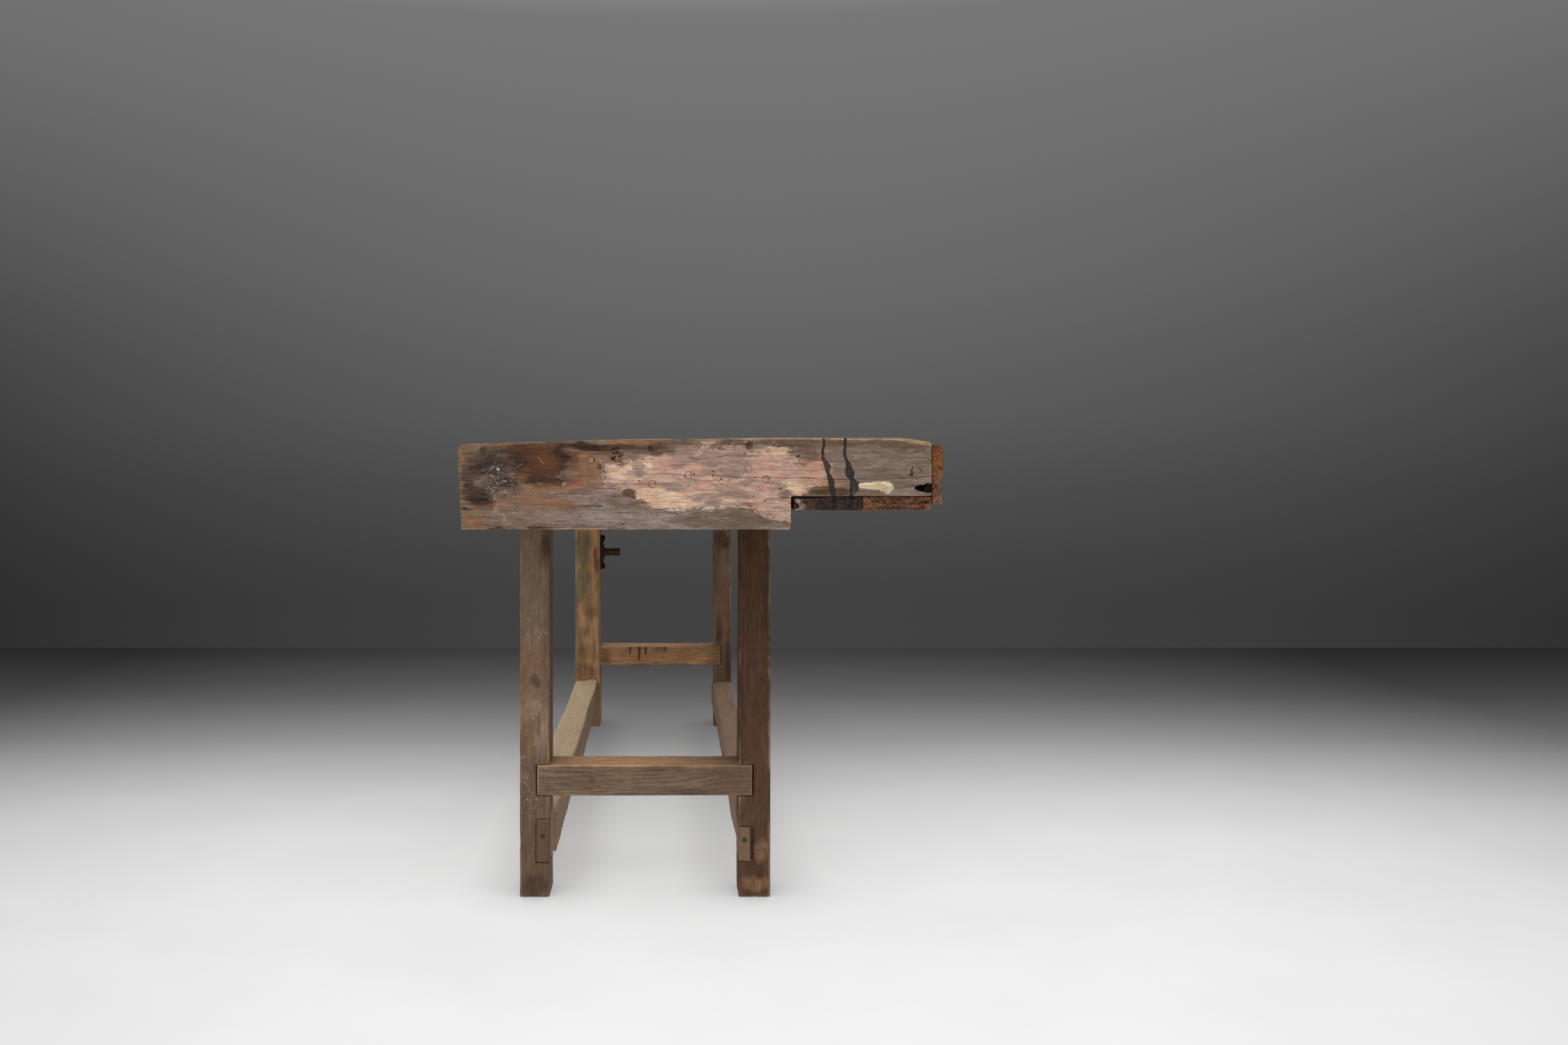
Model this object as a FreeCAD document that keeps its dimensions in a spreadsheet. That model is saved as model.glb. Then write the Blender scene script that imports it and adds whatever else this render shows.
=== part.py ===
"""An old joiner's workbench: a thick top between two deep end caps, with a sunken tool tray
behind it, four legs tied by cross and long stretchers, and the iron nut and screw of a vise.

The origin is on the floor under the bench's middle. X runs along the bench to its right end,
Y runs from the worker's side to the tray, and Z is up. Lengths are in millimetres.
"""

import FreeCAD
import Part
import math
import os
import re

import Sketcher

# Driving dimensions, in millimetres
SIZES = {
    # Whole bench
    "bench_length": 2160,
    "bench_height": 819,
    # Thick top
    "top_width": 532,
    "top_thickness": 130,
    "top_set_down": 2,
    "top_wear_drop": 8,
    "top_level_margin": 10,
    "top_arris_radius": 7,
    "top_bottom_arris_radius": 3,
    "front_plank_width": 280,
    "loose_tongue_thickness": 14,
    "loose_tongue_width": 36,
    "loose_tongue_gap": 0.2,
    # End caps
    "cap_thickness": 58,
    "cap_depth": 145,
    "cap_front_lean": 6.5,
    "cap_corner_radius": 11,
    "cap_rear_slope_run": 41,
    "cap_rear_slope_drop": 7.4,
    "cap_step_radius": 2,
    "cap_tongue_length": 22,
    "cap_tongue_thickness": 42,
    "cap_tongue_front_stop": 34,
    "cap_tongue_rear_stop": 26,
    "cap_groove_gap": 0.2,
    "cap_peg_diameter": 11,
    "cap_peg_length": 104,
    "peg_gap": 0.05,
    # Tool tray
    "tray_width": 224,
    "tray_depth": 92,
    "tray_floor_thickness": 22,
    "inner_board_width": 43,
    "middle_board_width": 70,
    "tray_board_gap": 0.3,
    "tray_tongue_depth": 8,
    "tray_tongue_thickness": 10,
    "tray_end_gap": 3.8,
    "back_board_thickness": 19,
    "back_board_height": 96,
    "back_board_set_down": 11.4,
    "back_board_radius": 7,
    # Legs
    "leg_depth": 80,
    "leg_overhang": 270,
    "front_leg_set_in": 70,
    "vise_leg_set_in": 63,
    "rear_leg_set_in": 12.5,
    "front_right_leg_width": 54,
    "front_left_leg_width": 73,
    "rear_right_leg_width": 58,
    "rear_left_leg_width": 51.5,
    "leg_arris": 2,
    "leg_tenon_length": 64,
    "leg_tenon_depth": 44,
    "leg_tenon_cheek": 11,
    "mortise_gap": 0.2,
    "mortise_end_gap": 0.3,
    "leg_peg_diameter": 12,
    "leg_peg_height": 46,
    "leg_peg_rest": 12,
    # Cross stretchers
    "right_cross_height": 55.5,
    "right_cross_bottom": 181,
    "right_cross_front_lap": 24.5,
    "right_cross_rear_lap": 27,
    "left_cross_height": 56,
    "left_cross_bottom": 178,
    "left_cross_rear_lap": 22,
    "left_cross_tenon_length": 34,
    "left_cross_tenon_depth": 32,
    "left_cross_tenon_shoulder": 8,
    "lap_end_gap": 1,
    "stretcher_arris": 2,
    # Long stretchers
    "front_rail_width": 65,
    "front_rail_stand_off": 6,
    "front_rail_bottom": 58,
    "front_rail_top": 134,
    "front_tongue_bottom": 61,
    "front_tongue_top": 139,
    "front_tongue_width": 24.5,
    "rear_rail_width": 57,
    "rear_rail_bottom": 62,
    "rear_rail_top": 131,
    "rear_tongue_bottom": 64,
    "rear_tongue_top": 126,
    "rear_tongue_width": 22,
    "rail_tongue_gap": 0.3,
    "rail_arris": 3,
    # Nails
    "nail_thickness": 4.4,
    "nail_tip_thickness": 1.6,
    "nail_head_width": 7.6,
    "nail_head_height": 1.6,
    "floor_nail_length": 55,
    "back_nail_length": 58,
    "stretcher_nail_length": 62,
    "nail_gap": 0.05,
    # Remains of the vise
    "vise_set_down": 179.5,
    "vise_plate_thickness": 7.6,
    "vise_plate_height": 101,
    "vise_plate_width": 58,
    "vise_plate_lug_width": 26,
    "vise_plate_shoulder": 15,
    "vise_plate_radius": 9,
    "vise_boss_diameter": 38,
    "vise_boss_height": 3.4,
    "vise_screw_diameter": 24,
    "vise_screw_stand_out": 57,
    "vise_screw_end_break": 1.5,
    "vise_screw_front_inset": 9,
    "vise_screw_gap": 0.05,
    "vise_bore_gap": 1.5,
    "plate_screw_spacing": 82,
    "plate_screw_diameter": 8,
    "plate_screw_length": 48,
    "plate_screw_head_diameter": 17,
    "plate_screw_crown_diameter": 10,
    "plate_screw_head_height": 5.6,
    "plate_screw_gap": 0.05,
    # One overrun for every cut
    "overrun": 5,
}

# Places that follow from the sizes, written as formulas of the names above
PLACES = {
    "end_x": "bench_length / 2",
    "cap_inner_x": "end_x - cap_thickness",
    "bench_width": "top_width + tray_width + back_board_thickness",
    "front_y": "-bench_width / 2",
    "rear_y": "bench_width / 2",
    "top_rear_y": "front_y + top_width",
    "seam_y": "front_y + front_plank_width",
    "rear_plank_width": "top_width - front_plank_width",
    "back_inner_y": "rear_y - back_board_thickness",
    "inner_edge_y": "top_rear_y + inner_board_width",
    "middle_edge_y": "inner_edge_y + middle_board_width",
    "top_z": "bench_height - top_set_down",
    "under_z": "top_z - top_thickness",
    "front_edge_z": "top_z - top_wear_drop",
    "wear_end_y": "seam_y - top_level_margin",
    "cap_bottom_z": "top_z - cap_depth",
    "mid_z": "top_z - top_thickness / 2",
    "tray_floor_z": "top_z - tray_depth",
    "tray_under_z": "tray_floor_z - tray_floor_thickness",
    "tray_mid_z": "tray_floor_z - tray_floor_thickness / 2",
    "back_top_z": "bench_height - back_board_set_down",
    "back_bottom_z": "back_top_z - back_board_height",
    "leg_outer_x": "end_x - leg_overhang",
    "leg_inner_x": "leg_outer_x - leg_depth",
    "leg_mid_x": "leg_outer_x - leg_depth / 2",
    "fr_outer_y": "front_y + front_leg_set_in",
    "fr_inner_y": "fr_outer_y + front_right_leg_width",
    "fl_outer_y": "front_y + vise_leg_set_in",
    "fl_inner_y": "fl_outer_y + front_left_leg_width",
    "rear_outer_y": "top_rear_y - rear_leg_set_in",
    "rr_inner_y": "rear_outer_y - rear_right_leg_width",
    "rl_inner_y": "rear_outer_y - rear_left_leg_width",
    "front_tongue_inner_y": "fr_inner_y",
    "front_tongue_outer_y": "fr_inner_y - front_tongue_width",
    "front_rail_inner_y": "fr_inner_y + front_rail_stand_off",
    "front_rail_outer_y": "front_rail_inner_y - front_rail_width",
    "rear_rail_inner_y": "rr_inner_y",
    "rear_rail_outer_y": "rr_inner_y + rear_rail_width",
    "right_cross_top": "right_cross_bottom + right_cross_height",
    "left_cross_top": "left_cross_bottom + left_cross_height",
    "peg_hole": "cap_peg_diameter + 2 * peg_gap",
    "nail_hole": "nail_thickness + 2 * nail_gap",
    "nail_head_hole": "nail_head_width + 2 * nail_gap",
    "leg_peg_z": "under_z + leg_peg_height",
    "vise_x": "-leg_mid_x",
    "vise_height": "under_z - vise_set_down",
}

# Where the pegs sit on a cap's face: the plank that each is driven into, as a share of that
# plank's width from its front edge, and as a share of the cap's depth from its underside
RIGHT_CAP_PEG_SHARES = (
    ("front", 0.149, 0.869),
    ("front", 0.761, 0.770),
    ("rear", 0.112, 0.892),
    ("rear", 0.124, 0.503),
    ("rear", 0.350, 0.601),
    ("rear", 0.729, 0.670),
    ("rear", 0.735, 0.926),
    ("rear", 0.843, 0.556),
)
LEFT_CAP_PEG_SHARES = (
    ("front", 0.20, 0.55),
    ("front", 0.80, 0.55),
    ("rear", 0.65, 0.55),
)
PLANK_FRONTS = {"front": "front_y", "rear": "seam_y"}

# Where the nails of the back board sit, as shares of the bench's half length from its middle
BACK_NAIL_SHARES = (-0.72, -0.24, 0.24, 0.72)

# How far up a cap's end its two nails sit, and how far up a rail's tongue its nail sits
CAP_NAIL_RISE_SHARES = (0.25, 0.67)
TONGUE_NAIL_RISE_SHARE = 0.62

PLANES = {"XY": "XY_Plane", "XZ": "XZ_Plane", "YZ": "YZ_Plane"}

doc = FreeCAD.newDocument("joiners_workbench")
sheet = doc.addObject("Spreadsheet::Sheet", "Sizes")
for row, (alias, number) in enumerate(SIZES.items(), start=1):
    sheet.set(f"A{row}", alias)
    sheet.set(f"B{row}", str(number))
    sheet.setAlias(f"B{row}", alias)
doc.recompute()

sub_parts = []


def formula(words):
    """The full formula, with each place worked out and each size read from the sheet."""
    def swap(match):
        word = match.group(0)
        if word in PLACES:
            return "(" + formula(PLACES[word]) + ")"
        if word in SIZES:
            return "Sizes." + word
        raise ValueError("no size or place is called " + word)
    return re.sub(r"[a-z][a-z_]+", swap, words)


def value(words):
    """What a formula comes to now, as a plain number."""
    return float(sheet.evalExpression(formula(words)))


def bind(thing, name, words):
    thing.setExpression(name, formula(words))


def new_body(name):
    body = doc.addObject("PartDesign::Body", name)
    body.Label = name
    sub_parts.append(body)
    return body


def new_sketch(body, plane, at):
    """A sketch on one of the body's own planes, lifted to the place `at` along its axis."""
    sketch = body.newObject("Sketcher::SketchObject", "profile")
    origin_plane = next(f for f in body.Origin.OriginFeatures if f.Role == PLANES[plane])
    sketch.AttachmentSupport = [(origin_plane, "")]
    sketch.MapMode = "FlatFace"
    bind(sketch, "AttachmentOffset.Base.z", f"-({at})" if plane == "XZ" else at)
    return sketch


def pin_point(sketch, geometry, position, u, v):
    """Hold one point of the sketch at u, v, which are formulas."""
    for kind, words in (("DistanceX", u), ("DistanceY", v)):
        number = sketch.addConstraint(
            Sketcher.Constraint(kind, -1, 1, geometry, position, value(words)))
        bind(sketch, f"Constraints[{number}]", words)


def draw_outline(sketch, corners):
    """A closed outline through corners (u, v) or (u, v, radius), all formulas, in turn."""
    spots = [FreeCAD.Vector(value(c[0]), value(c[1]), 0) for c in corners]
    radii = [value(c[2]) if len(c) > 2 else 0 for c in corners]
    count = len(corners)
    starts = []
    ends = []
    for i, spot in enumerate(spots):
        towards_last = (spots[i - 1] - spot).normalize()
        towards_next = (spots[(i + 1) % count] - spot).normalize()
        half_turn = towards_last.getAngle(towards_next) / 2
        cut_back = radii[i] / math.tan(half_turn)
        ends.append(spot + towards_last * cut_back)
        starts.append(spot + towards_next * cut_back)
    lines = []
    for i in range(count):
        segment = Part.LineSegment(starts[i], ends[(i + 1) % count])
        lines.append(sketch.addGeometry(segment, False))
    for i, corner in enumerate(corners):
        before = lines[i - 1]
        after = lines[i]
        if not radii[i]:
            sketch.addConstraint(Sketcher.Constraint("Coincident", before, 2, after, 1))
            pin_point(sketch, after, 1, corner[0], corner[1])
            continue
        round_corner(sketch, corner, spots[i], ends[i], starts[i], before, after)


def round_corner(sketch, corner, spot, first, last, before, after):
    """An arc tangent to the two lines that meet at the corner."""
    bisector = (first + last) * 0.5 - spot
    radius = value(corner[2])
    centre_distance = (radius ** 2 + (first - spot).Length ** 2) ** 0.5
    centre = spot + bisector.normalize() * centre_distance
    left_turn = (first - centre).cross(last - centre).z > 0
    begin, finish = (first, last) if left_turn else (last, first)
    middle = centre + (spot - centre).normalize() * radius
    arc = sketch.addGeometry(Part.Arc(begin, middle, finish), False)
    arc_first, arc_last = (1, 2) if left_turn else (2, 1)
    sharp = sketch.addGeometry(Part.Point(spot), True)
    pin_point(sketch, sharp, 1, corner[0], corner[1])
    sketch.addConstraint(Sketcher.Constraint("PointOnObject", sharp, 1, before))
    sketch.addConstraint(Sketcher.Constraint("PointOnObject", sharp, 1, after))
    sketch.addConstraint(Sketcher.Constraint("Tangent", before, 2, arc, arc_first))
    sketch.addConstraint(Sketcher.Constraint("Tangent", after, 1, arc, arc_last))
    number = sketch.addConstraint(Sketcher.Constraint("Radius", arc, radius))
    bind(sketch, f"Constraints[{number}]", corner[2])


def draw_circles(sketch, centres, diameter):
    for u, v in centres:
        middle = FreeCAD.Vector(value(u), value(v), 0)
        circle = Part.Circle(middle, FreeCAD.Vector(0, 0, 1), value(diameter) / 2)
        number = sketch.addGeometry(circle, False)
        pin_point(sketch, number, 3, u, v)
        size = sketch.addConstraint(Sketcher.Constraint("Diameter", number, value(diameter)))
        bind(sketch, f"Constraints[{size}]", diameter)


def rectangle(u_low, u_high, v_low, v_high):
    return [(u_low, v_low), (u_high, v_low), (u_high, v_high), (u_low, v_high)]


def volume_of(body):
    doc.recompute()
    return body.Shape.Volume


def extrude(body, sketch, low, high, cuts):
    """Pad or pocket the sketch from low to high along its plane's axis."""
    before = body.Shape.Volume if cuts else 0
    feature = body.newObject("PartDesign::Pocket" if cuts else "PartDesign::Pad", "step")
    feature.Profile = sketch
    bind(feature, "Length", f"({high}) - ({low})")
    feature.Reversed = cuts
    after = volume_of(body)
    if cuts and not after < before:
        raise ValueError("a cut in " + body.Label + " removes nothing")
    return feature


def add(body, plane, corners, low, high):
    sketch = new_sketch(body, plane, high if plane == "XZ" else low)
    draw_outline(sketch, corners)
    return extrude(body, sketch, low, high, False)


def cut(body, plane, corners, low, high):
    sketch = new_sketch(body, plane, high if plane == "XZ" else low)
    draw_outline(sketch, corners)
    return extrude(body, sketch, low, high, True)


def add_round(body, plane, centres, diameter, low, high):
    sketch = new_sketch(body, plane, high if plane == "XZ" else low)
    draw_circles(sketch, centres, diameter)
    return extrude(body, sketch, low, high, False)


def bore(body, plane, centres, diameter, low, high):
    sketch = new_sketch(body, plane, high if plane == "XZ" else low)
    draw_circles(sketch, centres, diameter)
    return extrude(body, sketch, low, high, True)


def punch(body, plane, centres, width, low, high):
    """Square holes of one width."""
    sketch = new_sketch(body, plane, high if plane == "XZ" else low)
    for u, v in centres:
        draw_outline(sketch, rectangle(
            f"{u} - ({width}) / 2", f"{u} + ({width}) / 2",
            f"{v} - ({width}) / 2", f"{v} + ({width}) / 2"))
    return extrude(body, sketch, low, high, True)


def break_edges(body, size, axis, reach):
    """Chamfer the body's straight edges that run along the axis for at least the reach."""
    names = []
    base = body.Tip
    for number, edge in enumerate(base.Shape.Edges, start=1):
        if len(edge.Vertexes) < 2 or edge.Length < reach or edge.Curve.TypeId != "Part::GeomLine":
            continue
        run = edge.Vertexes[1].Point - edge.Vertexes[0].Point
        if abs(getattr(run, axis)) > edge.Length / 2:
            names.append(f"Edge{number}")
    chamfer = body.newObject("PartDesign::Chamfer", "broken_edges")
    chamfer.Base = (base, names)
    bind(chamfer, "Size", size)
    body.Tip = chamfer
    doc.recompute()


def mirrored(words, side):
    """A place along X on the right end, or its mirror on the left end."""
    return words if side == "right" else f"-({words})"


def span(side, near, far):
    """The low and high places along X of a stretch given for the right end."""
    if side == "right":
        return near, far
    return f"-({far})", f"-({near})"


def cap_peg_places(side, planks=("front", "rear")):
    """Where a cap's pegs sit, or those that go into the named planks, seen from the end."""
    places = []
    for plank, across, up in RIGHT_CAP_PEG_SHARES if side == "right" else LEFT_CAP_PEG_SHARES:
        if plank in planks:
            places.append((f"{PLANK_FRONTS[plank]} + {plank}_plank_width * {across}",
                           f"cap_bottom_z + cap_depth * {up}"))
    return places


# Legs by name: low and high face in Y, and the end of the bench that they stand at
LEGS = {
    "leg_front_right": ("fr_outer_y", "fr_inner_y", "right"),
    "leg_front_left": ("fl_outer_y", "fl_inner_y", "left"),
    "leg_rear_right": ("rr_inner_y", "rear_outer_y", "right"),
    "leg_rear_left": ("rl_inner_y", "rear_outer_y", "left"),
}


def tenon_outline(side, low_y, high_y, gap):
    """The plan of a leg's tenon, or with a gap the plan of its mortise."""
    low_x, high_x = span(
        side,
        f"leg_mid_x - leg_tenon_depth / 2 - {gap}",
        f"leg_mid_x + leg_tenon_depth / 2 + {gap}",
    )
    return rectangle(
        low_x, high_x, f"{low_y} + leg_tenon_cheek - {gap}", f"{high_y} - leg_tenon_cheek + {gap}")


def make_top():
    groove_low = "mid_z - loose_tongue_thickness / 2 - loose_tongue_gap"
    groove_high = "mid_z + loose_tongue_thickness / 2 + loose_tongue_gap"
    half = "(loose_tongue_width / 2 + loose_tongue_gap)"

    front = new_body("top_front_plank")
    add(front, "YZ", [
        ("front_y", "under_z", "top_bottom_arris_radius"),
        ("seam_y", "under_z"),
        ("seam_y", "top_z"),
        ("wear_end_y", "top_z"),
        ("front_y", "front_edge_z", "top_arris_radius"),
    ], "-cap_inner_x", "cap_inner_x")
    finish_plank(front, "front", "front_y + cap_tongue_front_stop", "seam_y")
    cut(front, "YZ", rectangle(f"seam_y - {half}", "seam_y + overrun", groove_low, groove_high),
        "-end_x", "end_x")

    rear = new_body("top_rear_plank")
    add(rear, "YZ", [
        ("seam_y", "under_z"),
        ("top_rear_y", "under_z", "top_bottom_arris_radius"),
        ("top_rear_y", "top_z", "top_bottom_arris_radius"),
        ("seam_y", "top_z"),
    ], "-cap_inner_x", "cap_inner_x")
    finish_plank(rear, "rear", "seam_y", "top_rear_y - cap_tongue_rear_stop")
    cut(rear, "YZ", rectangle("seam_y - overrun", f"seam_y + {half}", groove_low, groove_high),
        "-end_x", "end_x")
    cut(rear, "YZ", rectangle(
        "top_rear_y - tray_tongue_depth - tray_board_gap", "top_rear_y + overrun",
        "tray_mid_z - tray_tongue_thickness / 2", "tray_mid_z + tray_tongue_thickness / 2"),
        "-end_x", "end_x")

    tongue = new_body("top_loose_tongue")
    add(tongue, "YZ", rectangle(
        "seam_y - loose_tongue_width / 2", "seam_y + loose_tongue_width / 2",
        "mid_z - loose_tongue_thickness / 2", "mid_z + loose_tongue_thickness / 2"),
        "-cap_inner_x - cap_tongue_length", "cap_inner_x + cap_tongue_length")


def finish_plank(plank, position, tongue_low, tongue_high):
    """The end tongues of a plank, its leg mortises, and the holes for its pegs."""
    end = "cap_inner_x + cap_tongue_length"
    add(plank, "YZ", rectangle(
        tongue_low, tongue_high,
        "mid_z - cap_tongue_thickness / 2", "mid_z + cap_tongue_thickness / 2"),
        f"-({end})", end)
    for side in ("right", "left"):
        leg_name = f"leg_{position}_{side}"
        low_y, high_y, _side = LEGS[leg_name]
        cut(plank, "XY", tenon_outline(side, low_y, high_y, "mortise_gap"),
            "under_z - overrun", "under_z + leg_tenon_length + mortise_end_gap")
        low, high = leg_peg_span(leg_name)
        bore(plank, "XZ", [(mirrored("leg_mid_x", side), "leg_peg_z")],
             "leg_peg_diameter + 2 * peg_gap", low, high)
        low, high = span(side, "end_x - cap_peg_length - peg_gap", "end_x")
        bore(plank, "YZ", cap_peg_places(side, (position,)), "peg_hole", low, high)


def leg_peg_span(leg_name):
    """Where a leg's peg runs: in from the top's nearest edge, and a rest past the tenon."""
    low_y, high_y, _side = LEGS[leg_name]
    if "front" in leg_name:
        return "front_y", f"{high_y} - leg_tenon_cheek + leg_peg_rest"
    return f"{low_y} + leg_tenon_cheek - leg_peg_rest", "top_rear_y"


def make_end_cap(side):
    cap = new_body("end_cap_" + side)
    low_x, high_x = span(side, "cap_inner_x", "end_x")
    add(cap, "YZ", [
        ("front_y + cap_front_lean", "cap_bottom_z"),
        ("top_rear_y", "cap_bottom_z", "cap_step_radius"),
        ("top_rear_y", "tray_floor_z"),
        ("back_inner_y", "tray_floor_z"),
        ("back_inner_y", "bench_height - cap_rear_slope_drop"),
        ("back_inner_y - cap_rear_slope_run", "bench_height"),
        ("top_rear_y", "bench_height"),
        ("wear_end_y", "top_z"),
        ("front_y", "front_edge_z", "cap_corner_radius"),
    ], low_x, high_x)
    groove_low, groove_high = span(
        side, "cap_inner_x - overrun", "cap_inner_x + cap_tongue_length + cap_groove_gap")
    cut(cap, "YZ", rectangle(
        "front_y + cap_tongue_front_stop - cap_groove_gap",
        "top_rear_y - cap_tongue_rear_stop + cap_groove_gap",
        "mid_z - cap_tongue_thickness / 2", "mid_z + cap_tongue_thickness / 2"),
        groove_low, groove_high)
    hole_low, hole_high = span(side, "cap_inner_x - overrun", "end_x + overrun")
    bore(cap, "YZ", cap_peg_places(side), "peg_hole", hole_low, hole_high)
    punch(cap, "XY", floor_nail_places(side), "nail_hole",
          "tray_floor_z - overrun", "tray_under_z + floor_nail_length + nail_gap")
    punch(cap, "XZ", cap_back_nail_places(side), "nail_hole",
          "rear_y - back_nail_length - nail_gap", "rear_y")


def make_cap_pegs(side):
    low_x, _high_x = span(side, "end_x - cap_peg_length", "end_x")
    make_pins("end_cap_pegs_" + side, [
        (low_x, across, up, "x") for across, up in cap_peg_places(side)
    ], "cap_peg_diameter", "cap_peg_length")


AXES = {
    "x": FreeCAD.Rotation(FreeCAD.Vector(0, 1, 0), 90),
    "y": FreeCAD.Rotation(FreeCAD.Vector(1, 0, 0), -90),
    "z": FreeCAD.Rotation(),
}


def make_pins(name, places, diameter, length):
    """A group of alike round pins. Each place is a pin's low end and the axis it runs along."""
    pins = []
    for x, y, z, axis in places:
        pin = doc.addObject("Part::Cylinder", name + "_pin")
        bind(pin, "Radius", f"({diameter}) / 2")
        bind(pin, "Height", length)
        pin.Placement.Rotation = AXES[axis]
        bind(pin, "Placement.Base.x", x)
        bind(pin, "Placement.Base.y", y)
        bind(pin, "Placement.Base.z", z)
        pins.append(pin)
    make_group(name, pins)


def make_group(name, pieces):
    group = doc.addObject("Part::Compound", name)
    group.Label = name
    group.Links = pieces
    sub_parts.append(group)


def make_nails(name, places, length):
    """A group of alike cut nails, each a square head on a shank that tapers one way. Each place
    is the outside of a nail's head, and the way it is driven, as an axis and a sign."""
    nails = []
    for x, y, z, axis, sign in places:
        shank = doc.addObject("Part::Wedge", name + "_shank")
        for edge in ("Xmin", "X2min", "Zmin"):
            bind(shank, edge, "-nail_thickness / 2")
        for edge in ("Xmax", "X2max", "Zmax"):
            bind(shank, edge, "nail_thickness / 2")
        bind(shank, "Z2min", "-nail_tip_thickness / 2")
        bind(shank, "Z2max", "nail_tip_thickness / 2")
        shank.Ymin = 0
        bind(shank, "Ymax", length)
        shank.Placement.Rotation = FreeCAD.Rotation(FreeCAD.Vector(1, 0, 0), 90)
        head = doc.addObject("Part::Box", name + "_head")
        bind(head, "Length", "nail_head_width")
        bind(head, "Width", "nail_head_width")
        bind(head, "Height", "nail_head_height")
        bind(head, "Placement.Base.x", "-nail_head_width / 2")
        bind(head, "Placement.Base.y", "-nail_head_width / 2")
        nail = doc.addObject("Part::Fuse", name + "_nail")
        nail.Base = shank
        nail.Tool = head
        nail.Placement.Rotation = AXES[axis]
        if sign < 0:
            turn = FreeCAD.Rotation(FreeCAD.Vector(1, 0, 0), 180)
            nail.Placement.Rotation = AXES[axis] * turn
        bind(nail, "Placement.Base.x", x)
        bind(nail, "Placement.Base.y", y)
        bind(nail, "Placement.Base.z", z)
        nails.append(nail)
    make_group(name, nails)


def floor_nail_places(side):
    """One nail through an end of each floor board, from the inner board out, seen in plan."""
    x = mirrored("cap_inner_x + cap_thickness / 2", side)
    return [
        (x, "inner_edge_y - inner_board_width / 2"),
        (x, "middle_edge_y - middle_board_width / 2"),
        (x, "(middle_edge_y + back_inner_y) / 2"),
    ]


def cap_back_nail_places(side):
    """Two nails through the back board into a cap's end, seen from behind."""
    x = mirrored("cap_inner_x + cap_thickness / 2", side)
    return [(x, f"tray_floor_z + tray_depth * {share}") for share in CAP_NAIL_RISE_SHARES]


def board_back_nail_places():
    """The nails through the back board's lower edge into the floor's outer board."""
    return [(f"end_x * {share}", "tray_mid_z + nail_head_width / 2") for share in BACK_NAIL_SHARES]


def make_floor_board(name, low_y, high_y, number):
    """One board of the tray's floor. The first is tongued into the top between the caps."""
    board = new_body(name)
    if number == 0:
        add(board, "YZ", rectangle(low_y, high_y, "tray_under_z", "tray_floor_z"),
            "-cap_inner_x", "cap_inner_x")
        add(board, "YZ", rectangle(
            f"{low_y} + tray_end_gap", high_y, "tray_under_z", "tray_floor_z"), "-end_x", "end_x")
        add(board, "YZ", rectangle(
            f"{low_y} - tray_tongue_depth", f"{low_y} + tray_end_gap",
            "tray_mid_z - tray_tongue_thickness / 2", "tray_mid_z + tray_tongue_thickness / 2"),
            "-cap_inner_x", "cap_inner_x")
    else:
        add(board, "YZ", rectangle(low_y, high_y, "tray_under_z", "tray_floor_z"),
            "-end_x", "end_x")
    for side in ("right", "left"):
        here = [floor_nail_places(side)[number]]
        punch(board, "XY", here, "nail_hole", "tray_under_z - overrun", "tray_floor_z + overrun")
        punch(board, "XY", here, "nail_head_hole",
              "tray_under_z - overrun", "tray_under_z + nail_head_height + nail_gap")
    return board


def make_tray():
    make_floor_board("tray_board_inner", "top_rear_y", "inner_edge_y - tray_board_gap", 0)
    make_floor_board("tray_board_middle", "inner_edge_y", "middle_edge_y - tray_board_gap", 1)
    outer = make_floor_board("tray_board_outer", "middle_edge_y", "back_inner_y", 2)
    punch(outer, "XZ", board_back_nail_places(), "nail_hole",
          "rear_y - back_nail_length - nail_gap", "rear_y")

    back = new_body("tray_back_board")
    add(back, "YZ", [
        ("back_inner_y", "back_bottom_z"),
        ("rear_y", "back_bottom_z"),
        ("rear_y", "back_top_z", "back_board_radius"),
        ("back_inner_y", "back_top_z"),
    ], "-end_x", "end_x")
    nails = board_back_nail_places()
    for side in ("right", "left"):
        nails += cap_back_nail_places(side)
    punch(back, "XZ", nails, "nail_hole", "back_inner_y - overrun", "rear_y + overrun")
    punch(back, "XZ", nails, "nail_head_hole",
          "rear_y - nail_head_height - nail_gap", "rear_y + overrun")

    floor_nails = []
    for side in ("right", "left"):
        for x, y in floor_nail_places(side):
            floor_nails.append((x, y, "tray_under_z", "z", 1))
    make_nails("tray_floor_nails", floor_nails, "floor_nail_length")
    make_nails("tray_back_nails", [(x, "rear_y", z, "y", -1) for x, z in nails],
               "back_nail_length")


def make_legs():
    legs = {}
    for name, (low_y, high_y, side) in LEGS.items():
        leg = new_body(name)
        low_x, high_x = span(side, "leg_inner_x", "leg_outer_x")
        add(leg, "XY", rectangle(low_x, high_x, low_y, high_y), "0", "under_z")
        break_edges(leg, "leg_arris", "z", value("under_z / 2"))
        add(leg, "XY", tenon_outline(side, low_y, high_y, "0"),
            "under_z - overrun", "under_z + leg_tenon_length")
        peg_low, peg_high = leg_peg_span(name)
        bore(leg, "XZ", [(mirrored("leg_mid_x", side), "leg_peg_z")],
             "leg_peg_diameter + 2 * peg_gap", peg_low, peg_high)
        legs[name] = leg
    cut_right_leg_notches(legs)
    cut_left_leg_notches(legs)
    cut_rail_seats(legs)
    vise_holes(legs["leg_front_left"])
    make_leg_pegs()


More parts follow.
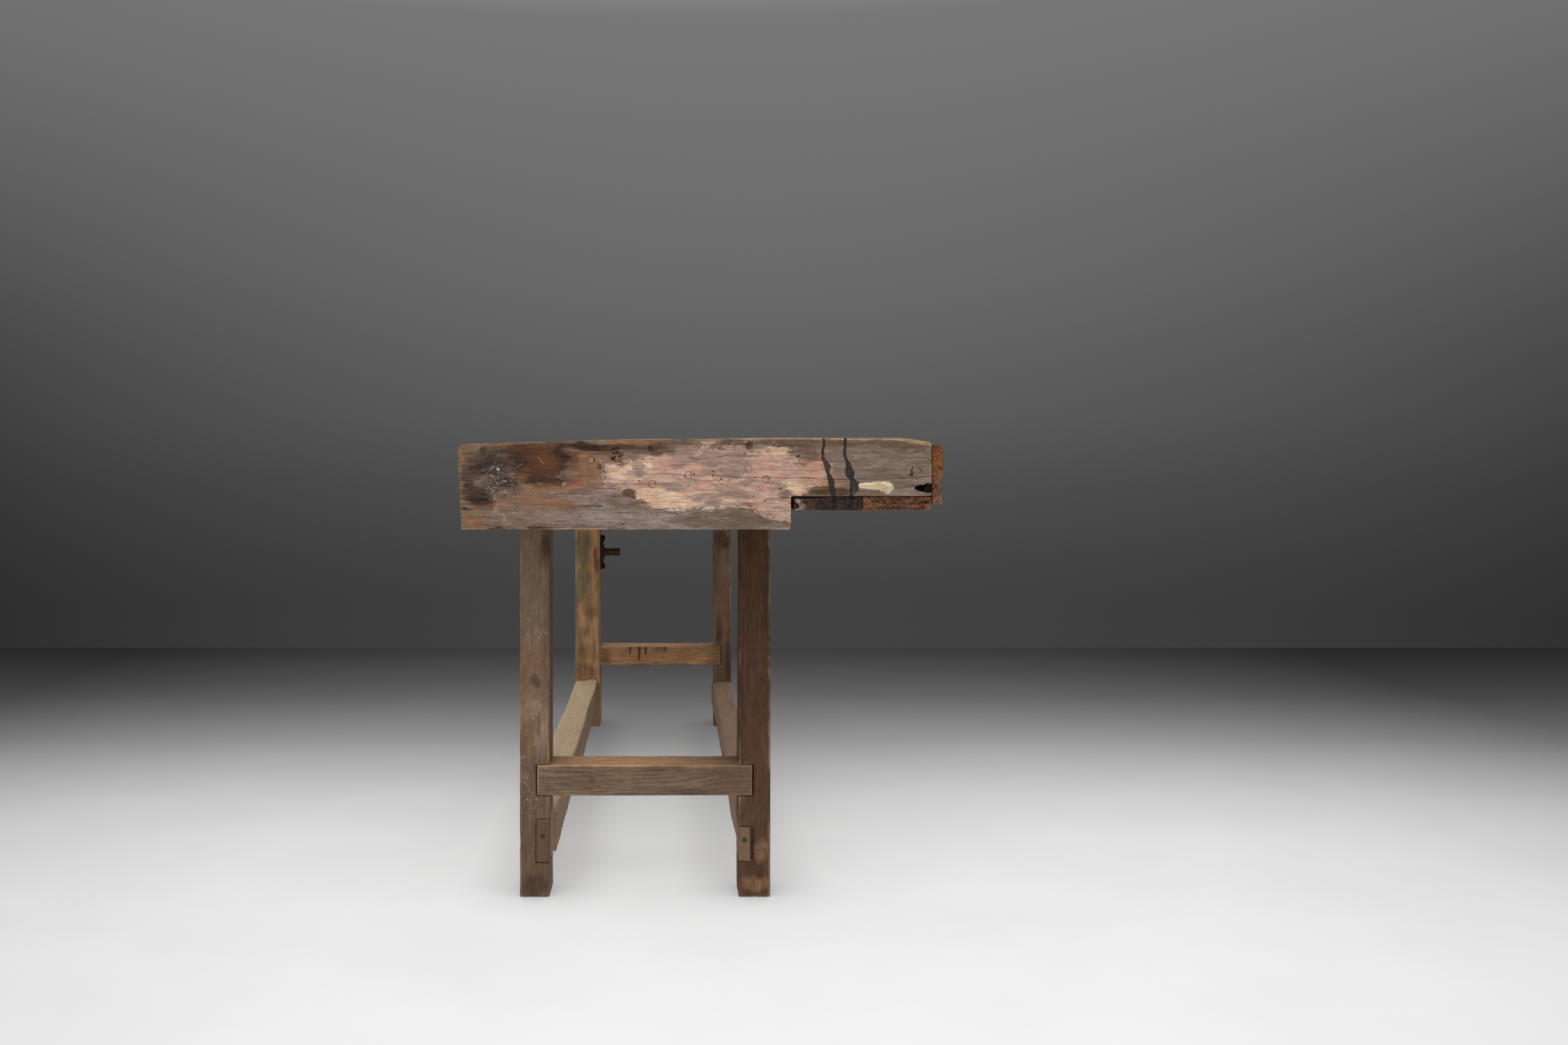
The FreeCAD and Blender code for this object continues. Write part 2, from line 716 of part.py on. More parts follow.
def make_leg_pegs():
    pegs = []
    for name, (_low_y, _high_y, side) in LEGS.items():
        low, high = leg_peg_span(name)
        peg = doc.addObject("Part::Cylinder", "leg_peg")
        bind(peg, "Radius", "leg_peg_diameter / 2")
        bind(peg, "Height", f"({high}) - ({low})")
        peg.Placement.Rotation = AXES["y"]
        bind(peg, "Placement.Base.x", mirrored("leg_mid_x", side))
        bind(peg, "Placement.Base.y", low)
        bind(peg, "Placement.Base.z", "leg_peg_z")
        pegs.append(peg)
    make_group("leg_tenon_pegs", pegs)


def cut_right_leg_notches(legs):
    """The right cross stretcher is as deep as the legs and let into their inner halves."""
    low_x, high_x = span("right", "leg_inner_x - overrun", "leg_outer_x + overrun")
    cut(legs["leg_front_right"], "YZ", rectangle(
        "fr_inner_y - right_cross_front_lap", "fr_inner_y + overrun",
        "right_cross_bottom", "right_cross_top"), low_x, high_x)
    cut(legs["leg_rear_right"], "YZ", rectangle(
        "rr_inner_y - overrun", "rr_inner_y + right_cross_rear_lap",
        "right_cross_bottom", "right_cross_top"), low_x, high_x)


def cut_left_leg_notches(legs):
    """The left cross stretcher is lapped into the rear leg and tenoned into the vise leg."""
    low_x, high_x = span("left", "leg_inner_x - overrun", "leg_outer_x + overrun")
    cut(legs["leg_rear_left"], "YZ", rectangle(
        "rl_inner_y - overrun", "rl_inner_y + left_cross_rear_lap",
        "left_cross_bottom", "left_cross_top"), low_x, high_x)
    tenon_low, tenon_high = span(
        "left", "leg_mid_x - left_cross_tenon_depth / 2", "leg_mid_x + left_cross_tenon_depth / 2")
    cut(legs["leg_front_left"], "YZ", rectangle(
        "fl_inner_y - left_cross_tenon_length - lap_end_gap", "fl_inner_y + overrun",
        "left_cross_bottom + left_cross_tenon_shoulder",
        "left_cross_top - left_cross_tenon_shoulder"), tenon_low, tenon_high)


def rail_tongue(rail, side):
    """A long rail's tongue across a leg: its low and high Y, and its bottom and top."""
    if rail == "front":
        return ("front_tongue_outer_y", "front_tongue_inner_y",
                "front_tongue_bottom", "front_tongue_top")
    inner = "rr_inner_y" if side == "right" else "rl_inner_y"
    return (inner, f"{inner} + rear_tongue_width", "rear_tongue_bottom", "rear_tongue_top")


def cut_rail_seats(legs):
    """The long rails' tongues run through the full depth of the legs."""
    for name, (low_y, high_y, side) in LEGS.items():
        rail = "front" if "front" in name else "rear"
        low, high, bottom, top = rail_tongue(rail, side)
        open_low = rail == "rear"
        open_high = name == "leg_front_right"
        seat_low = f"{low} - overrun" if open_low else f"{low} - rail_tongue_gap"
        seat_high = f"{high} + overrun" if open_high else f"{high} + rail_tongue_gap"
        low_x, high_x = span(side, "leg_inner_x - overrun", "leg_outer_x + overrun")
        cut(legs[name], "YZ",
            rectangle(seat_low, seat_high, bottom, f"{top} + rail_tongue_gap"), low_x, high_x)


def tongue_nail_place(rail, side):
    """Where the nail of a rail's tongue sits, seen from the bench's end."""
    low, high, bottom, top = rail_tongue(rail, side)
    return f"({low} + {high}) / 2", f"{bottom} + ({top} - {bottom}) * {TONGUE_NAIL_RISE_SHARE}"


def make_rail(rail):
    body = new_body("long_stretcher_" + rail)
    low_y, high_y = ("front_rail_outer_y", "front_rail_inner_y")
    if rail == "rear":
        low_y, high_y = ("rear_rail_inner_y", "rear_rail_outer_y")
    add(body, "YZ", rectangle(low_y, high_y, f"{rail}_rail_bottom", f"{rail}_rail_top"),
        "-leg_inner_x", "leg_inner_x")
    break_edges(body, "rail_arris", "x", value("leg_inner_x"))
    for side in ("right", "left"):
        low, high, bottom, top = rail_tongue(rail, side)
        low_x, high_x = span(side, "leg_inner_x - rail_arris", "leg_outer_x")
        add(body, "YZ", rectangle(low, high, bottom, top), low_x, high_x)
        place = [tongue_nail_place(rail, side)]
        low_x, high_x = span(side, "leg_outer_x - stretcher_nail_length - nail_gap",
                             "leg_outer_x + overrun")
        punch(body, "YZ", place, "nail_hole", low_x, high_x)
        low_x, high_x = span(side, "leg_outer_x - nail_head_height - nail_gap",
                             "leg_outer_x + overrun")
        punch(body, "YZ", place, "nail_head_hole", low_x, high_x)


def make_stretchers():
    right = new_body("cross_stretcher_right")
    low_x, high_x = span("right", "leg_inner_x", "leg_outer_x")
    add(right, "YZ", rectangle(
        "fr_inner_y - right_cross_front_lap + lap_end_gap",
        "rr_inner_y + right_cross_rear_lap - lap_end_gap",
        "right_cross_bottom", "right_cross_top"), low_x, high_x)
    break_edges(right, "stretcher_arris", "y", value("rr_inner_y - fr_inner_y"))

    left = new_body("cross_stretcher_left")
    low_x, high_x = span("left", "leg_inner_x", "leg_outer_x")
    add(left, "YZ", rectangle(
        "fl_inner_y", "rl_inner_y + left_cross_rear_lap - lap_end_gap",
        "left_cross_bottom", "left_cross_top"), low_x, high_x)
    break_edges(left, "stretcher_arris", "y", value("rl_inner_y - fl_inner_y"))
    tenon_low, tenon_high = span(
        "left", "leg_mid_x - left_cross_tenon_depth / 2", "leg_mid_x + left_cross_tenon_depth / 2")
    add(left, "YZ", rectangle(
        "fl_inner_y - left_cross_tenon_length", "fl_inner_y + stretcher_arris",
        "left_cross_bottom + left_cross_tenon_shoulder",
        "left_cross_top - left_cross_tenon_shoulder"), tenon_low, tenon_high)

    make_rail("front")
    make_rail("rear")
    nails = []
    for side, way in (("right", -1), ("left", 1)):
        for rail in ("front", "rear"):
            across, up = tongue_nail_place(rail, side)
            nails.append((mirrored("leg_outer_x", side), across, up, "x", way))
    make_nails("stretcher_nails", nails, "stretcher_nail_length")


def plate_screw_places():
    return [
        ("vise_x", "vise_height + plate_screw_spacing / 2"),
        ("vise_x", "vise_height - plate_screw_spacing / 2"),
    ]


def vise_holes(leg):
    """The vise screw's bore through the leg, and the two pilot holes of the plate's screws."""
    bore(leg, "XZ", [("vise_x", "vise_height")],
         "vise_screw_diameter + 2 * vise_bore_gap", "fl_outer_y - overrun", "fl_inner_y + overrun")
    bore(leg, "XZ", plate_screw_places(), "plate_screw_diameter + 2 * plate_screw_gap",
         "fl_inner_y + vise_plate_thickness - plate_screw_length - plate_screw_gap",
         "fl_inner_y + overrun")


def make_vise():
    face = "fl_inner_y + vise_plate_thickness"
    plate = new_body("vise_nut_plate")
    lug = "vise_plate_lug_width / 2"
    side = "vise_plate_width / 2"
    end = "vise_plate_height / 2"
    corners = []
    for u, v in (
        (lug, end), (side, "vise_plate_shoulder"), (side, "-vise_plate_shoulder"), (lug, f"-{end}"),
        (f"-{lug}", f"-{end}"), (f"-{side}", "-vise_plate_shoulder"),
        (f"-{side}", "vise_plate_shoulder"), (f"-{lug}", end),
    ):
        corners.append((f"vise_x + {u}", f"vise_height + {v}", "vise_plate_radius"))
    add(plate, "XZ", corners, "fl_inner_y", face)
    add_round(plate, "XZ", [("vise_x", "vise_height")], "vise_boss_diameter",
              "fl_inner_y", f"{face} + vise_boss_height")
    bore(plate, "XZ", [("vise_x", "vise_height")], "vise_screw_diameter + 2 * vise_screw_gap",
         "fl_inner_y - overrun", f"{face} + vise_boss_height + overrun")
    bore(plate, "XZ", plate_screw_places(), "plate_screw_diameter + 2 * plate_screw_gap",
         "fl_inner_y - overrun", f"{face} + overrun")

    make_plate_screws(face)

    screw = new_body("vise_screw")
    add_round(screw, "XZ", [("vise_x", "vise_height")], "vise_screw_diameter",
              "fl_outer_y + vise_screw_front_inset", "fl_inner_y + vise_screw_stand_out")
    shaft = screw.Tip
    rims = []
    for number, edge in enumerate(shaft.Shape.Edges, start=1):
        if edge.Curve.TypeId == "Part::GeomCircle":
            rims.append(f"Edge{number}")
    end_break = screw.newObject("PartDesign::Chamfer", "end_break")
    end_break.Base = (shaft, rims)
    bind(end_break, "Size", "vise_screw_end_break")
    screw.Tip = end_break


def make_plate_screws(face):
    """The screws that hold the nut plate: a shank in the leg and a crowned head on the plate."""
    screws = []
    for x, z in plate_screw_places():
        shank = doc.addObject("Part::Cylinder", "plate_screw_shank")
        bind(shank, "Radius", "plate_screw_diameter / 2")
        bind(shank, "Height", "plate_screw_length")
        head = doc.addObject("Part::Cone", "plate_screw_head")
        bind(head, "Radius1", "plate_screw_head_diameter / 2")
        bind(head, "Radius2", "plate_screw_crown_diameter / 2")
        bind(head, "Height", "plate_screw_head_height")
        bind(head, "Placement.Base.z", "plate_screw_length")
        screw = doc.addObject("Part::Fuse", "plate_screw")
        screw.Base = shank
        screw.Tool = head
        screw.Placement.Rotation = AXES["y"]
        bind(screw, "Placement.Base.x", x)
        bind(screw, "Placement.Base.y", f"{face} - plate_screw_length")
        bind(screw, "Placement.Base.z", z)
        screws.append(screw)
    make_group("vise_nut_screws", screws)


def check_and_write():
    doc.recompute()
    for thing in doc.Objects:
        if "Invalid" in thing.State or "Error" in thing.State:
            raise ValueError(thing.Name + " failed to recompute")
    for part in sub_parts:
        if part.Shape.isNull() or not part.Shape.isValid():
            raise ValueError(part.Label + " has no valid shape")
    os.makedirs("parts", exist_ok=True)
    for part in sub_parts:
        part.Shape.exportStep(f"parts/{part.Label}.step")
        box = part.Shape.BoundBox
        print(f"{part.Label}: {len(part.Shape.Solids)} solids, volume {part.Shape.Volume:.0f},"
              f" X {box.XMin:.1f}..{box.XMax:.1f}, Y {box.YMin:.1f}..{box.YMax:.1f},"
              f" Z {box.ZMin:.1f}..{box.ZMax:.1f}")
    print(len(sub_parts), "nodes")


make_top()
for end_side in ("right", "left"):
    make_end_cap(end_side)
    make_cap_pegs(end_side)
make_tray()
make_legs()
make_stretchers()
make_vise()
check_and_write()
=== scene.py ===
"""The looks of an old joiner's workbench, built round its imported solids.

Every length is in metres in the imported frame: the origin is on the floor under the bench's
middle, X runs to the right end that faces the camera, Y from the worker's side to the tray.
"""
import math

import bmesh
import bpy
import numpy as np
from mathutils import Matrix, Vector


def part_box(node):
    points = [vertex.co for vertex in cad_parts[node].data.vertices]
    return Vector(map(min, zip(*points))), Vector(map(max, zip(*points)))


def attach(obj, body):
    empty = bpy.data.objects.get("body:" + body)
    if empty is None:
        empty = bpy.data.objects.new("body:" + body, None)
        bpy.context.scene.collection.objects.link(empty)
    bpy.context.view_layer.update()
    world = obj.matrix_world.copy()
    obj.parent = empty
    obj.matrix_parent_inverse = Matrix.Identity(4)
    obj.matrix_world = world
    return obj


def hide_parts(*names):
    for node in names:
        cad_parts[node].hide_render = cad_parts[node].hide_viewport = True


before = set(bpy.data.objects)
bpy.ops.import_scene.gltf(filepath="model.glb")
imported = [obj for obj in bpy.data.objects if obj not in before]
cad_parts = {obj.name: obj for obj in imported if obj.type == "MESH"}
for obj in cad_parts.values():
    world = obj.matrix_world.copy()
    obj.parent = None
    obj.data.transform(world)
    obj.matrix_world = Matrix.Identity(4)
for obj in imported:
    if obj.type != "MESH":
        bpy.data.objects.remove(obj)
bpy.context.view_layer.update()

MM = 0.001
COARSER = 1

# The camera: where the photograph was taken from, and its frame in pixels
CAMERA = Vector((3.234, -0.050, 0.788))
IMAGE_WIDTH, IMAGE_HEIGHT = 2250, 1500
VANISH_X, VANISH_Y = 960, 656
FOCAL_PX = 1944
SENSOR = 36

# The planes that face the camera, and the size of a photograph's pixel on the right end cap
CAP_LOW, CAP_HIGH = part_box("end_cap_right")
CAP_FACE_X = CAP_HIGH.x
CAP_PX = (CAMERA.x - CAP_FACE_X) / FOCAL_PX
RIGHT_FACE_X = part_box("leg_front_right")[1].x
LEFT_FACE_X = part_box("leg_front_left")[1].x

# How fine the skin of each kind of piece is
CAP_SKIN, LEFT_CAP_SKIN = 3 * MM, 3.5 * MM
TOP_SKIN, TRAY_SKIN, OUTER_BOARD_SKIN, BACK_BOARD_SKIN = 4.6 * MM, 3.2 * MM, 3.6 * MM, 3.4 * MM
LEG_SKIN, CROSS_SKIN, LONG_SKIN, PLATE_SKIN = 2.6 * MM, 2.4 * MM, 3.2 * MM, 0.9 * MM

rng = np.random.default_rng(2281)
LATTICE = rng.random((64, 64, 64), dtype=np.float32)


def lattice_noise(points):
    """Smooth noise from 0 to 1 on a lattice with a step of one."""
    floor = np.floor(points)
    share = (points - floor).astype(np.float32)
    share = share * share * (3 - 2 * share)
    low = floor.astype(np.int64) & 63
    high = (low + 1) & 63
    total = 0
    for x, wx in ((low[:, 0], 1 - share[:, 0]), (high[:, 0], share[:, 0])):
        for y, wy in ((low[:, 1], 1 - share[:, 1]), (high[:, 1], share[:, 1])):
            for z, wz in ((low[:, 2], 1 - share[:, 2]), (high[:, 2], share[:, 2])):
                total = total + LATTICE[x, y, z] * (wx * wy * wz)
    return total


def cloud(points, size, octaves=3, shift=0.0):
    """Layered noise from -1 to 1. Its lumps are about size across, which may differ by axis."""
    spots = points / np.asarray(size) + shift
    total, weight, reach = 0, 1.0, 0.0
    for _ in range(octaves):
        total = total + weight * (lattice_noise(spots) * 2 - 1)
        reach += weight
        weight *= 0.5
        spots = spots * 2.03 + 17.3
    return total / reach * 1.6


def by_grain(axis, along, across):
    """A size for each of X, Y and Z: `along` on the grain's axis, `across` on the others."""
    size = [across] * 3
    size[axis] = along
    return np.array(size)


# Mesh building

def points_of(mesh):
    points = np.empty(len(mesh.vertices) * 3, np.float32)
    mesh.vertices.foreach_get("co", points)
    return points.reshape(-1, 3).astype(np.float64)


def normals_of(mesh):
    normals = np.empty(len(mesh.vertices) * 3, np.float32)
    mesh.vertex_normals.foreach_get("vector", normals)
    return normals.reshape(-1, 3).astype(np.float64)


def set_points(mesh, points):
    mesh.vertices.foreach_set("co", points.astype(np.float32).ravel())
    mesh.update()


def set_field(mesh, name, values):
    """A number for each of the mesh's points, which a material reads by its name."""
    layer = mesh.attributes.get(name) or mesh.attributes.new(name, "FLOAT", "POINT")
    layer.data.foreach_set("value", np.asarray(values, np.float32))


def node_copy(node):
    """A copy of a node's mesh with its split points joined."""
    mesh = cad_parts[node].data.copy()
    work = bmesh.new()
    work.from_mesh(mesh)
    bmesh.ops.remove_doubles(work, verts=work.verts, dist=0.01 * MM)
    work.to_mesh(mesh)
    work.free()
    mesh.materials.clear()
    return mesh


def as_mesh(work):
    """The worked shape as a mesh, its doubled points joined and its faces turned outwards."""
    bmesh.ops.remove_doubles(work, verts=work.verts, dist=0.001 * MM)
    bmesh.ops.recalc_face_normals(work, faces=work.faces[:])
    mesh = bpy.data.meshes.new("made")
    work.to_mesh(mesh)
    work.free()
    return mesh


def join_rings(work, rings):
    """Faces between each ring of points and the next."""
    for first, second in zip(rings, rings[1:]):
        for i in range(len(first)):
            j = (i + 1) % len(first)
            work.faces.new((first[i], first[j], second[j], second[i]))


def add_turned(work, rows, turns, spot):
    """A skin over one ring of points for each row: spot(row, angle) says where a point is."""
    rings = [[work.verts.new(spot(row, turn * 2 * math.pi / turns)) for turn in range(turns)]
             for row in rows]
    join_rings(work, rings)
    return rings


def section(node, at):
    """The outline of a node where the plane X = at cuts it, as points in turn."""
    work = bmesh.new()
    work.from_mesh(node_copy(node))
    result = bmesh.ops.bisect_plane(
        work, geom=work.verts[:] + work.edges[:] + work.faces[:],
        plane_co=(at, 0, 0), plane_no=(1, 0, 0), dist=0.001 * MM)
    links = {}
    for edge in result["geom_cut"]:
        if isinstance(edge, bmesh.types.BMEdge):
            for vert in edge.verts:
                links.setdefault(vert, []).append(edge)
    loops, seen = [], set()
    for vert in links:
        loop, came = [], None
        while vert not in seen:
            seen.add(vert)
            loop.append(vert.co.copy())
            came = next(e for e in links[vert] if e is not came)
            vert = came.other_vert(vert)
        if loop:
            loops.append(loop)
    work.free()
    return max(loops, key=lambda loop: np.ptp([p[:] for p in loop], axis=0).sum())


def bars(node, cuts):
    """Bars with the node's own sections: each cut says where the section is and what it spans."""
    work = bmesh.new()
    for at, low, high in cuts:
        outline = section(node, at)
        rings = [[work.verts.new((x, p.y, p.z)) for p in outline] for x in (low, high)]
        join_rings(work, rings)
        for ring in rings:
            work.faces.new(ring)
    return as_mesh(work)


def linked(name, data):
    """A new object in the scene."""
    made = bpy.data.objects.new(name, data)
    bpy.context.scene.collection.objects.link(made)
    return made


def applied(mesh, kind, **settings):
    """The mesh after one modifier."""
    holder = linked("holder", mesh)
    modifier = holder.modifiers.new("step", kind)
    for name, setting in settings.items():
        setattr(modifier, name, setting)
    graph = bpy.context.evaluated_depsgraph_get()
    result = bpy.data.meshes.new_from_object(holder.evaluated_get(graph))
    bpy.data.objects.remove(holder)
    return result


def skinned(mesh, voxel):
    """The mesh as an even skin of small quads, drawn back on to its own faces."""
    model = linked("model", mesh.copy())
    skin = applied(mesh, "REMESH", mode="VOXEL", voxel_size=voxel * COARSER)
    skin = applied(skin, "SHRINKWRAP", target=model, wrap_method="NEAREST_SURFACEPOINT")
    bpy.data.objects.remove(model)
    return skin


def refined(mesh, past_x):
    """The mesh with the faces halved whose middles lie past X = past_x."""
    work = bmesh.new()
    work.from_mesh(mesh)
    faces = [f for f in work.faces if f.calc_center_median().x > past_x]
    edges = list({e for f in faces for e in f.edges})
    bmesh.ops.subdivide_edges(work, edges=edges, cuts=1, use_grid_fill=True)
    work.to_mesh(mesh)
    work.free()
    return mesh


def drilled(mesh, cutter):
    """The mesh less the cutter mesh."""
    tool = linked("cutter", cutter)
    result = applied(mesh, "BOOLEAN", operation="DIFFERENCE", object=tool, solver="FAST")
    bpy.data.objects.remove(tool)
    return result


def islands(node):
    """The lowest and highest corner of each separate solid in a node, along X, Y and Z in turn."""
    work = bmesh.new()
    work.from_mesh(node_copy(node))
    left = set(work.verts)
    boxes = []
    while left:
        found = grown = {left.pop()}
        while grown:
            grown = {v for old in grown for e in old.link_edges for v in e.verts} & left
            left -= grown
            found = found | grown
        spots = np.array([v.co[:] for v in found])
        boxes.append((spots.min(0), spots.max(0)))
    work.free()
    return sorted(boxes, key=lambda box: tuple(np.round(box[0], 4)))


def middle_of(node):
    low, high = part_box(node)
    return (low + high) / 2


def add_piece(name, mesh, material, nodes, body="bench"):
    """A piece of the bench that stands for the named nodes."""
    mesh.name = name
    mesh.materials.clear()
    mesh.materials.append(material)
    mesh.polygons.foreach_set("use_smooth", np.ones(len(mesh.polygons), bool))
    piece = linked(name, mesh)
    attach(piece, body)
    if nodes:
        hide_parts(*nodes)


def push_in(mesh, node, points, normals, depth):
    """Set the mesh's points inwards from these by a depth each, and never past the node's box."""
    low, high = (np.array(corner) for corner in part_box(node))
    set_points(mesh, np.clip(points - normals * depth[:, None], low, high))


def weather(mesh, node, axis, wave=0.5 * MM, grit=0.15 * MM, wear=1.6 * MM, chips=1.5 * MM,
            shift=0.0, carve=None):
    """Wear a piece down from its solid's faces, most along its edges.

    It gives the points and their normals as they were before the wear.
    """
    points, normals = points_of(mesh), normals_of(mesh)
    low, high = (np.array(corner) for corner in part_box(node))
    gaps = np.minimum(points - low, high - points).clip(0)
    edge = np.sort(gaps, axis=1)[:, 1]
    depth = 0.1 * MM + wave * (0.5 + 0.5 * cloud(points, by_grain(axis, 0.22, 0.05), 2, shift))
    depth += grit * (1 + cloud(points, by_grain(axis, 0.03, 0.004), 2, shift + 5))
    rough = cloud(points, by_grain(axis, 0.06, 0.018), 3, shift + 9)
    depth += wear * np.exp(-edge / (3.5 * MM)) * (0.45 + 0.55 * rough).clip(0)
    torn = (cloud(points, by_grain(axis, 0.035, 0.012), 3, shift + 31) - 0.45).clip(0)
    depth += chips * 4 * torn * np.exp(-edge / (6 * MM))
    if carve is not None:
        depth += carve(points, normals)
    push_in(mesh, node, points, normals, depth)
    set_field(mesh, "edge", np.exp(-edge / (7 * MM)))
    return points, normals


# Marks that are placed by where they show in the photograph

def spots_in_photo(points, plane_x):
    """Where points on a plane that faces the camera show in the photograph, in pixels."""
    scale = (CAMERA.x - plane_x) / FOCAL_PX
    return (VANISH_X + (points[:, 1] - CAMERA.y) / scale,
            VANISH_Y - (points[:, 2] - CAMERA.z) / scale)


def blobs(px, py, rows):
    """A field from 0 to 1, a half at the rim of each oval (x, y, half width, half height)."""
    field = np.zeros(len(px))
    for x, y, half_x, half_y in rows:
        away = np.hypot((px - x) / half_x, (py - y) / half_y)
        field = np.maximum(field, 1 - away / 2)
    return field


def strokes(px, py, rows):
    """A field from 0 to 1, a half at the rim of each stroke, a run of (x, y, width)."""
    field = np.zeros(len(px))
    for row in rows:
        for (x0, y0, w0), (x1, y1, w1) in zip(row, row[1:]):
            run = np.array([x1 - x0, y1 - y0])
            share = (((px - x0) * run[0] + (py - y0) * run[1]) / (run @ run)).clip(0, 1)
            away = np.hypot(px - x0 - share * run[0], py - y0 - share * run[1])
            width = w0 + (w1 - w0) * share
            field = np.maximum(field, 1 - away / width)
    return field


def line_fields(px, py, rows, fade=4.0):
    """For thin lines: the signed distance to the nearest one in pixels, and how near it is."""
    offset = np.full(len(px), 99.0)
    on = np.zeros(len(px))
    for row in rows:
        ends = (row[0], row[-1])
        for (x0, y0), (x1, y1) in zip(row, row[1:]):
            run = np.array([x1 - x0, y1 - y0], float)
            length = np.hypot(*run)
            share = ((px - x0) * run[0] + (py - y0) * run[1]) / length ** 2
            side = ((py - y0) * run[0] - (px - x0) * run[1]) / length
            past = np.maximum(-share, share - 1).clip(0) * length
            away = np.hypot(side, past)
            better = away < np.abs(offset)
            offset = np.where(better, np.copysign(away, side), offset)
        tip = np.minimum(np.hypot(px - ends[0][0], py - ends[0][1]),
                         np.hypot(px - ends[1][0], py - ends[1][1]))
        on = np.maximum(on, (1 - np.abs(offset) / fade).clip(0) * (tip / 12).clip(0, 1))
    return offset, on


class Face:
    """A piece's points as the camera sees them on one plane, for marks placed by pixels."""

    def __init__(self, points, normals, plane_x=CAP_FACE_X, reach=3 * MM, shift=0.0,
                 upright=False):
        self.points = points
        self.x, self.y = spots_in_photo(points, plane_x)
        nearness = ((points[:, 0] - plane_x + reach) / reach).clip(0, 1)
        self.shown = nearness * (normals[:, 0] > -0.2)
        self.shift = shift
        self.upright = upright
        self.moved = {0: (self.x, self.y)}

    def ragged(self, reach):
        """The pixels moved by noise, so that painted ovals get rims like brushwork and stains."""
        if reach not in self.moved:
            along, across = (self.y, self.x) if self.upright else (self.x, self.y)
            spots = np.stack([along, across, np.zeros(len(along))], 1)
            wide = cloud(spots, (34, 9, 1), 3, 3.1 + self.shift)
            high = cloud(spots, (26, 10, 1), 3, 7.7 + self.shift)
            fine = cloud(spots, (7, 2.2, 1), 2, 12.9 + self.shift)
            along = along + reach * (1.6 * wide + 0.35 * fine)
            across = across + reach * (high + 0.2 * fine)
            self.moved[reach] = (across, along) if self.upright else (along, across)
        return self.moved[reach]

    def marks(self, reach, ovals=(), runs=()):
        """A field of ovals and strokes whose rims are ragged by about so many pixels."""
        x, y = self.ragged(reach)
        return self.shown * np.maximum(blobs(x, y, ovals), strokes(x, y, runs))

    def lines(self, rows):
        """What line_fields says of thin lines that waver a little."""
        waver = 0.8 * cloud(self.points, (1, 0.02, 0.02), 2, 4)
        return line_fields(self.x, self.y + waver, rows)


def bite(field, at=0.4, steep=4):
    """From 0 to 1, quickly, where a field passes a level."""
    return ((field - at) * steep).clip(0, 1)


# Materials

class Shader:
    """Builds one node material. Its calls add nodes and give their outputs.

    It keeps the colour, roughness and height so far, which tint and lift change.
    """

    def __init__(self, name, axis=0, tree=None, place="Object"):
        if tree is None:
            self.material = bpy.data.materials.new(name)
            self.material.use_nodes = True
            tree = self.material.node_tree
        self.tree = tree
        self.tree.nodes.clear()
        self.axis = axis
        self.place = self.add("TexCoord", out=place)
        self.shared = {}
        self.colour = self.rough = self.height = None

    def add(self, kind, out=0, inputs=None, **settings):
        node = self.tree.nodes.new("ShaderNode" + kind)
        for name, setting in settings.items():
            setattr(node, name, setting)
        for key, given in (inputs or {}).items():
            if isinstance(given, bpy.types.NodeSocket):
                self.tree.links.new(given, node.inputs[key])
            elif given is not None:
                node.inputs[key].default_value = rgb(given) if isinstance(given, str) else given
        return node.outputs[out] if len(node.outputs) else None

    def math(self, operation, first, second=None, third=None):
        return self.add("Math", inputs={0: first, 1: second, 2: third}, operation=operation)

    def times(self, first, second):
        return self.math("MULTIPLY", first, second)

    def times_plus(self, first, second, third):
        """The first times the second, plus the third."""
        return self.math("MULTIPLY_ADD", first, second, third)

    def minus(self, first, second):
        return self.math("SUBTRACT", first, second)

    def span(self, number, low, high, to_low=0.0, to_high=1.0):
        """The number, smoothly from to_low at low to to_high at high."""
        return self.add("MapRange", interpolation_type="SMOOTHSTEP", inputs={
            "Value": number, "From Min": low, "From Max": high,
            "To Min": to_low, "To Max": to_high})

    def stretched(self, along, across):
        """The place in lumps: `along` the grain and `across` it, both in metres."""
        if (along, across) not in self.shared:
            scale = [1 / across] * 3
            scale[self.axis] = 1 / along
            self.shared[along, across] = self.add(
                "VectorMath", operation="MULTIPLY", inputs={0: self.place, 1: tuple(scale)})
        return self.shared[along, across]

    def lumps(self, vector, scale=1.0, detail=3.0, rough=0.5, twist=0.0):
        return self.add("TexNoise", inputs={
            "Vector": vector, "Scale": scale, "Detail": detail, "Roughness": rough,
            "Distortion": twist})

    def noise(self, along, across, detail=3.0, rough=0.55, twist=0.0):
        return self.lumps(self.stretched(along, across), 1.0, detail, rough, twist)

    def field(self, name):
        return self.add("Attribute", out="Fac", attribute_name=name)

    def mix(self, share, first, second, blend="MIX"):
        return self.add("Mix", out=2, data_type="RGBA", blend_type=blend,
                        inputs={0: share, 6: first, 7: second})

    def tint(self, share, colour, blend="MIX"):
        """Lay a colour over the material's own."""
        self.colour = self.mix(share, self.colour, colour, blend)

    def lift(self, share, rise):
        """Raise the surface, or lower it, by a share of the rise."""
        self.height = self.times_plus(share, rise, self.height)

    def finish(self, relief, metal=0.0, level=0.3, glow=0.0):
        bump = self.add("Bump", inputs={"Strength": 1.0, "Distance": relief,
                                        "Height": self.height})
        shader = self.add("BsdfPrincipled", inputs={
            "Base Color": self.colour, "Roughness": self.rough, "Metallic": metal,
            "Specular IOR Level": level, "Normal": bump, "Emission Strength": glow,
            "Emission Color": self.colour if glow else None})
        self.add("OutputMaterial", inputs={"Surface": shader})
        return self.material
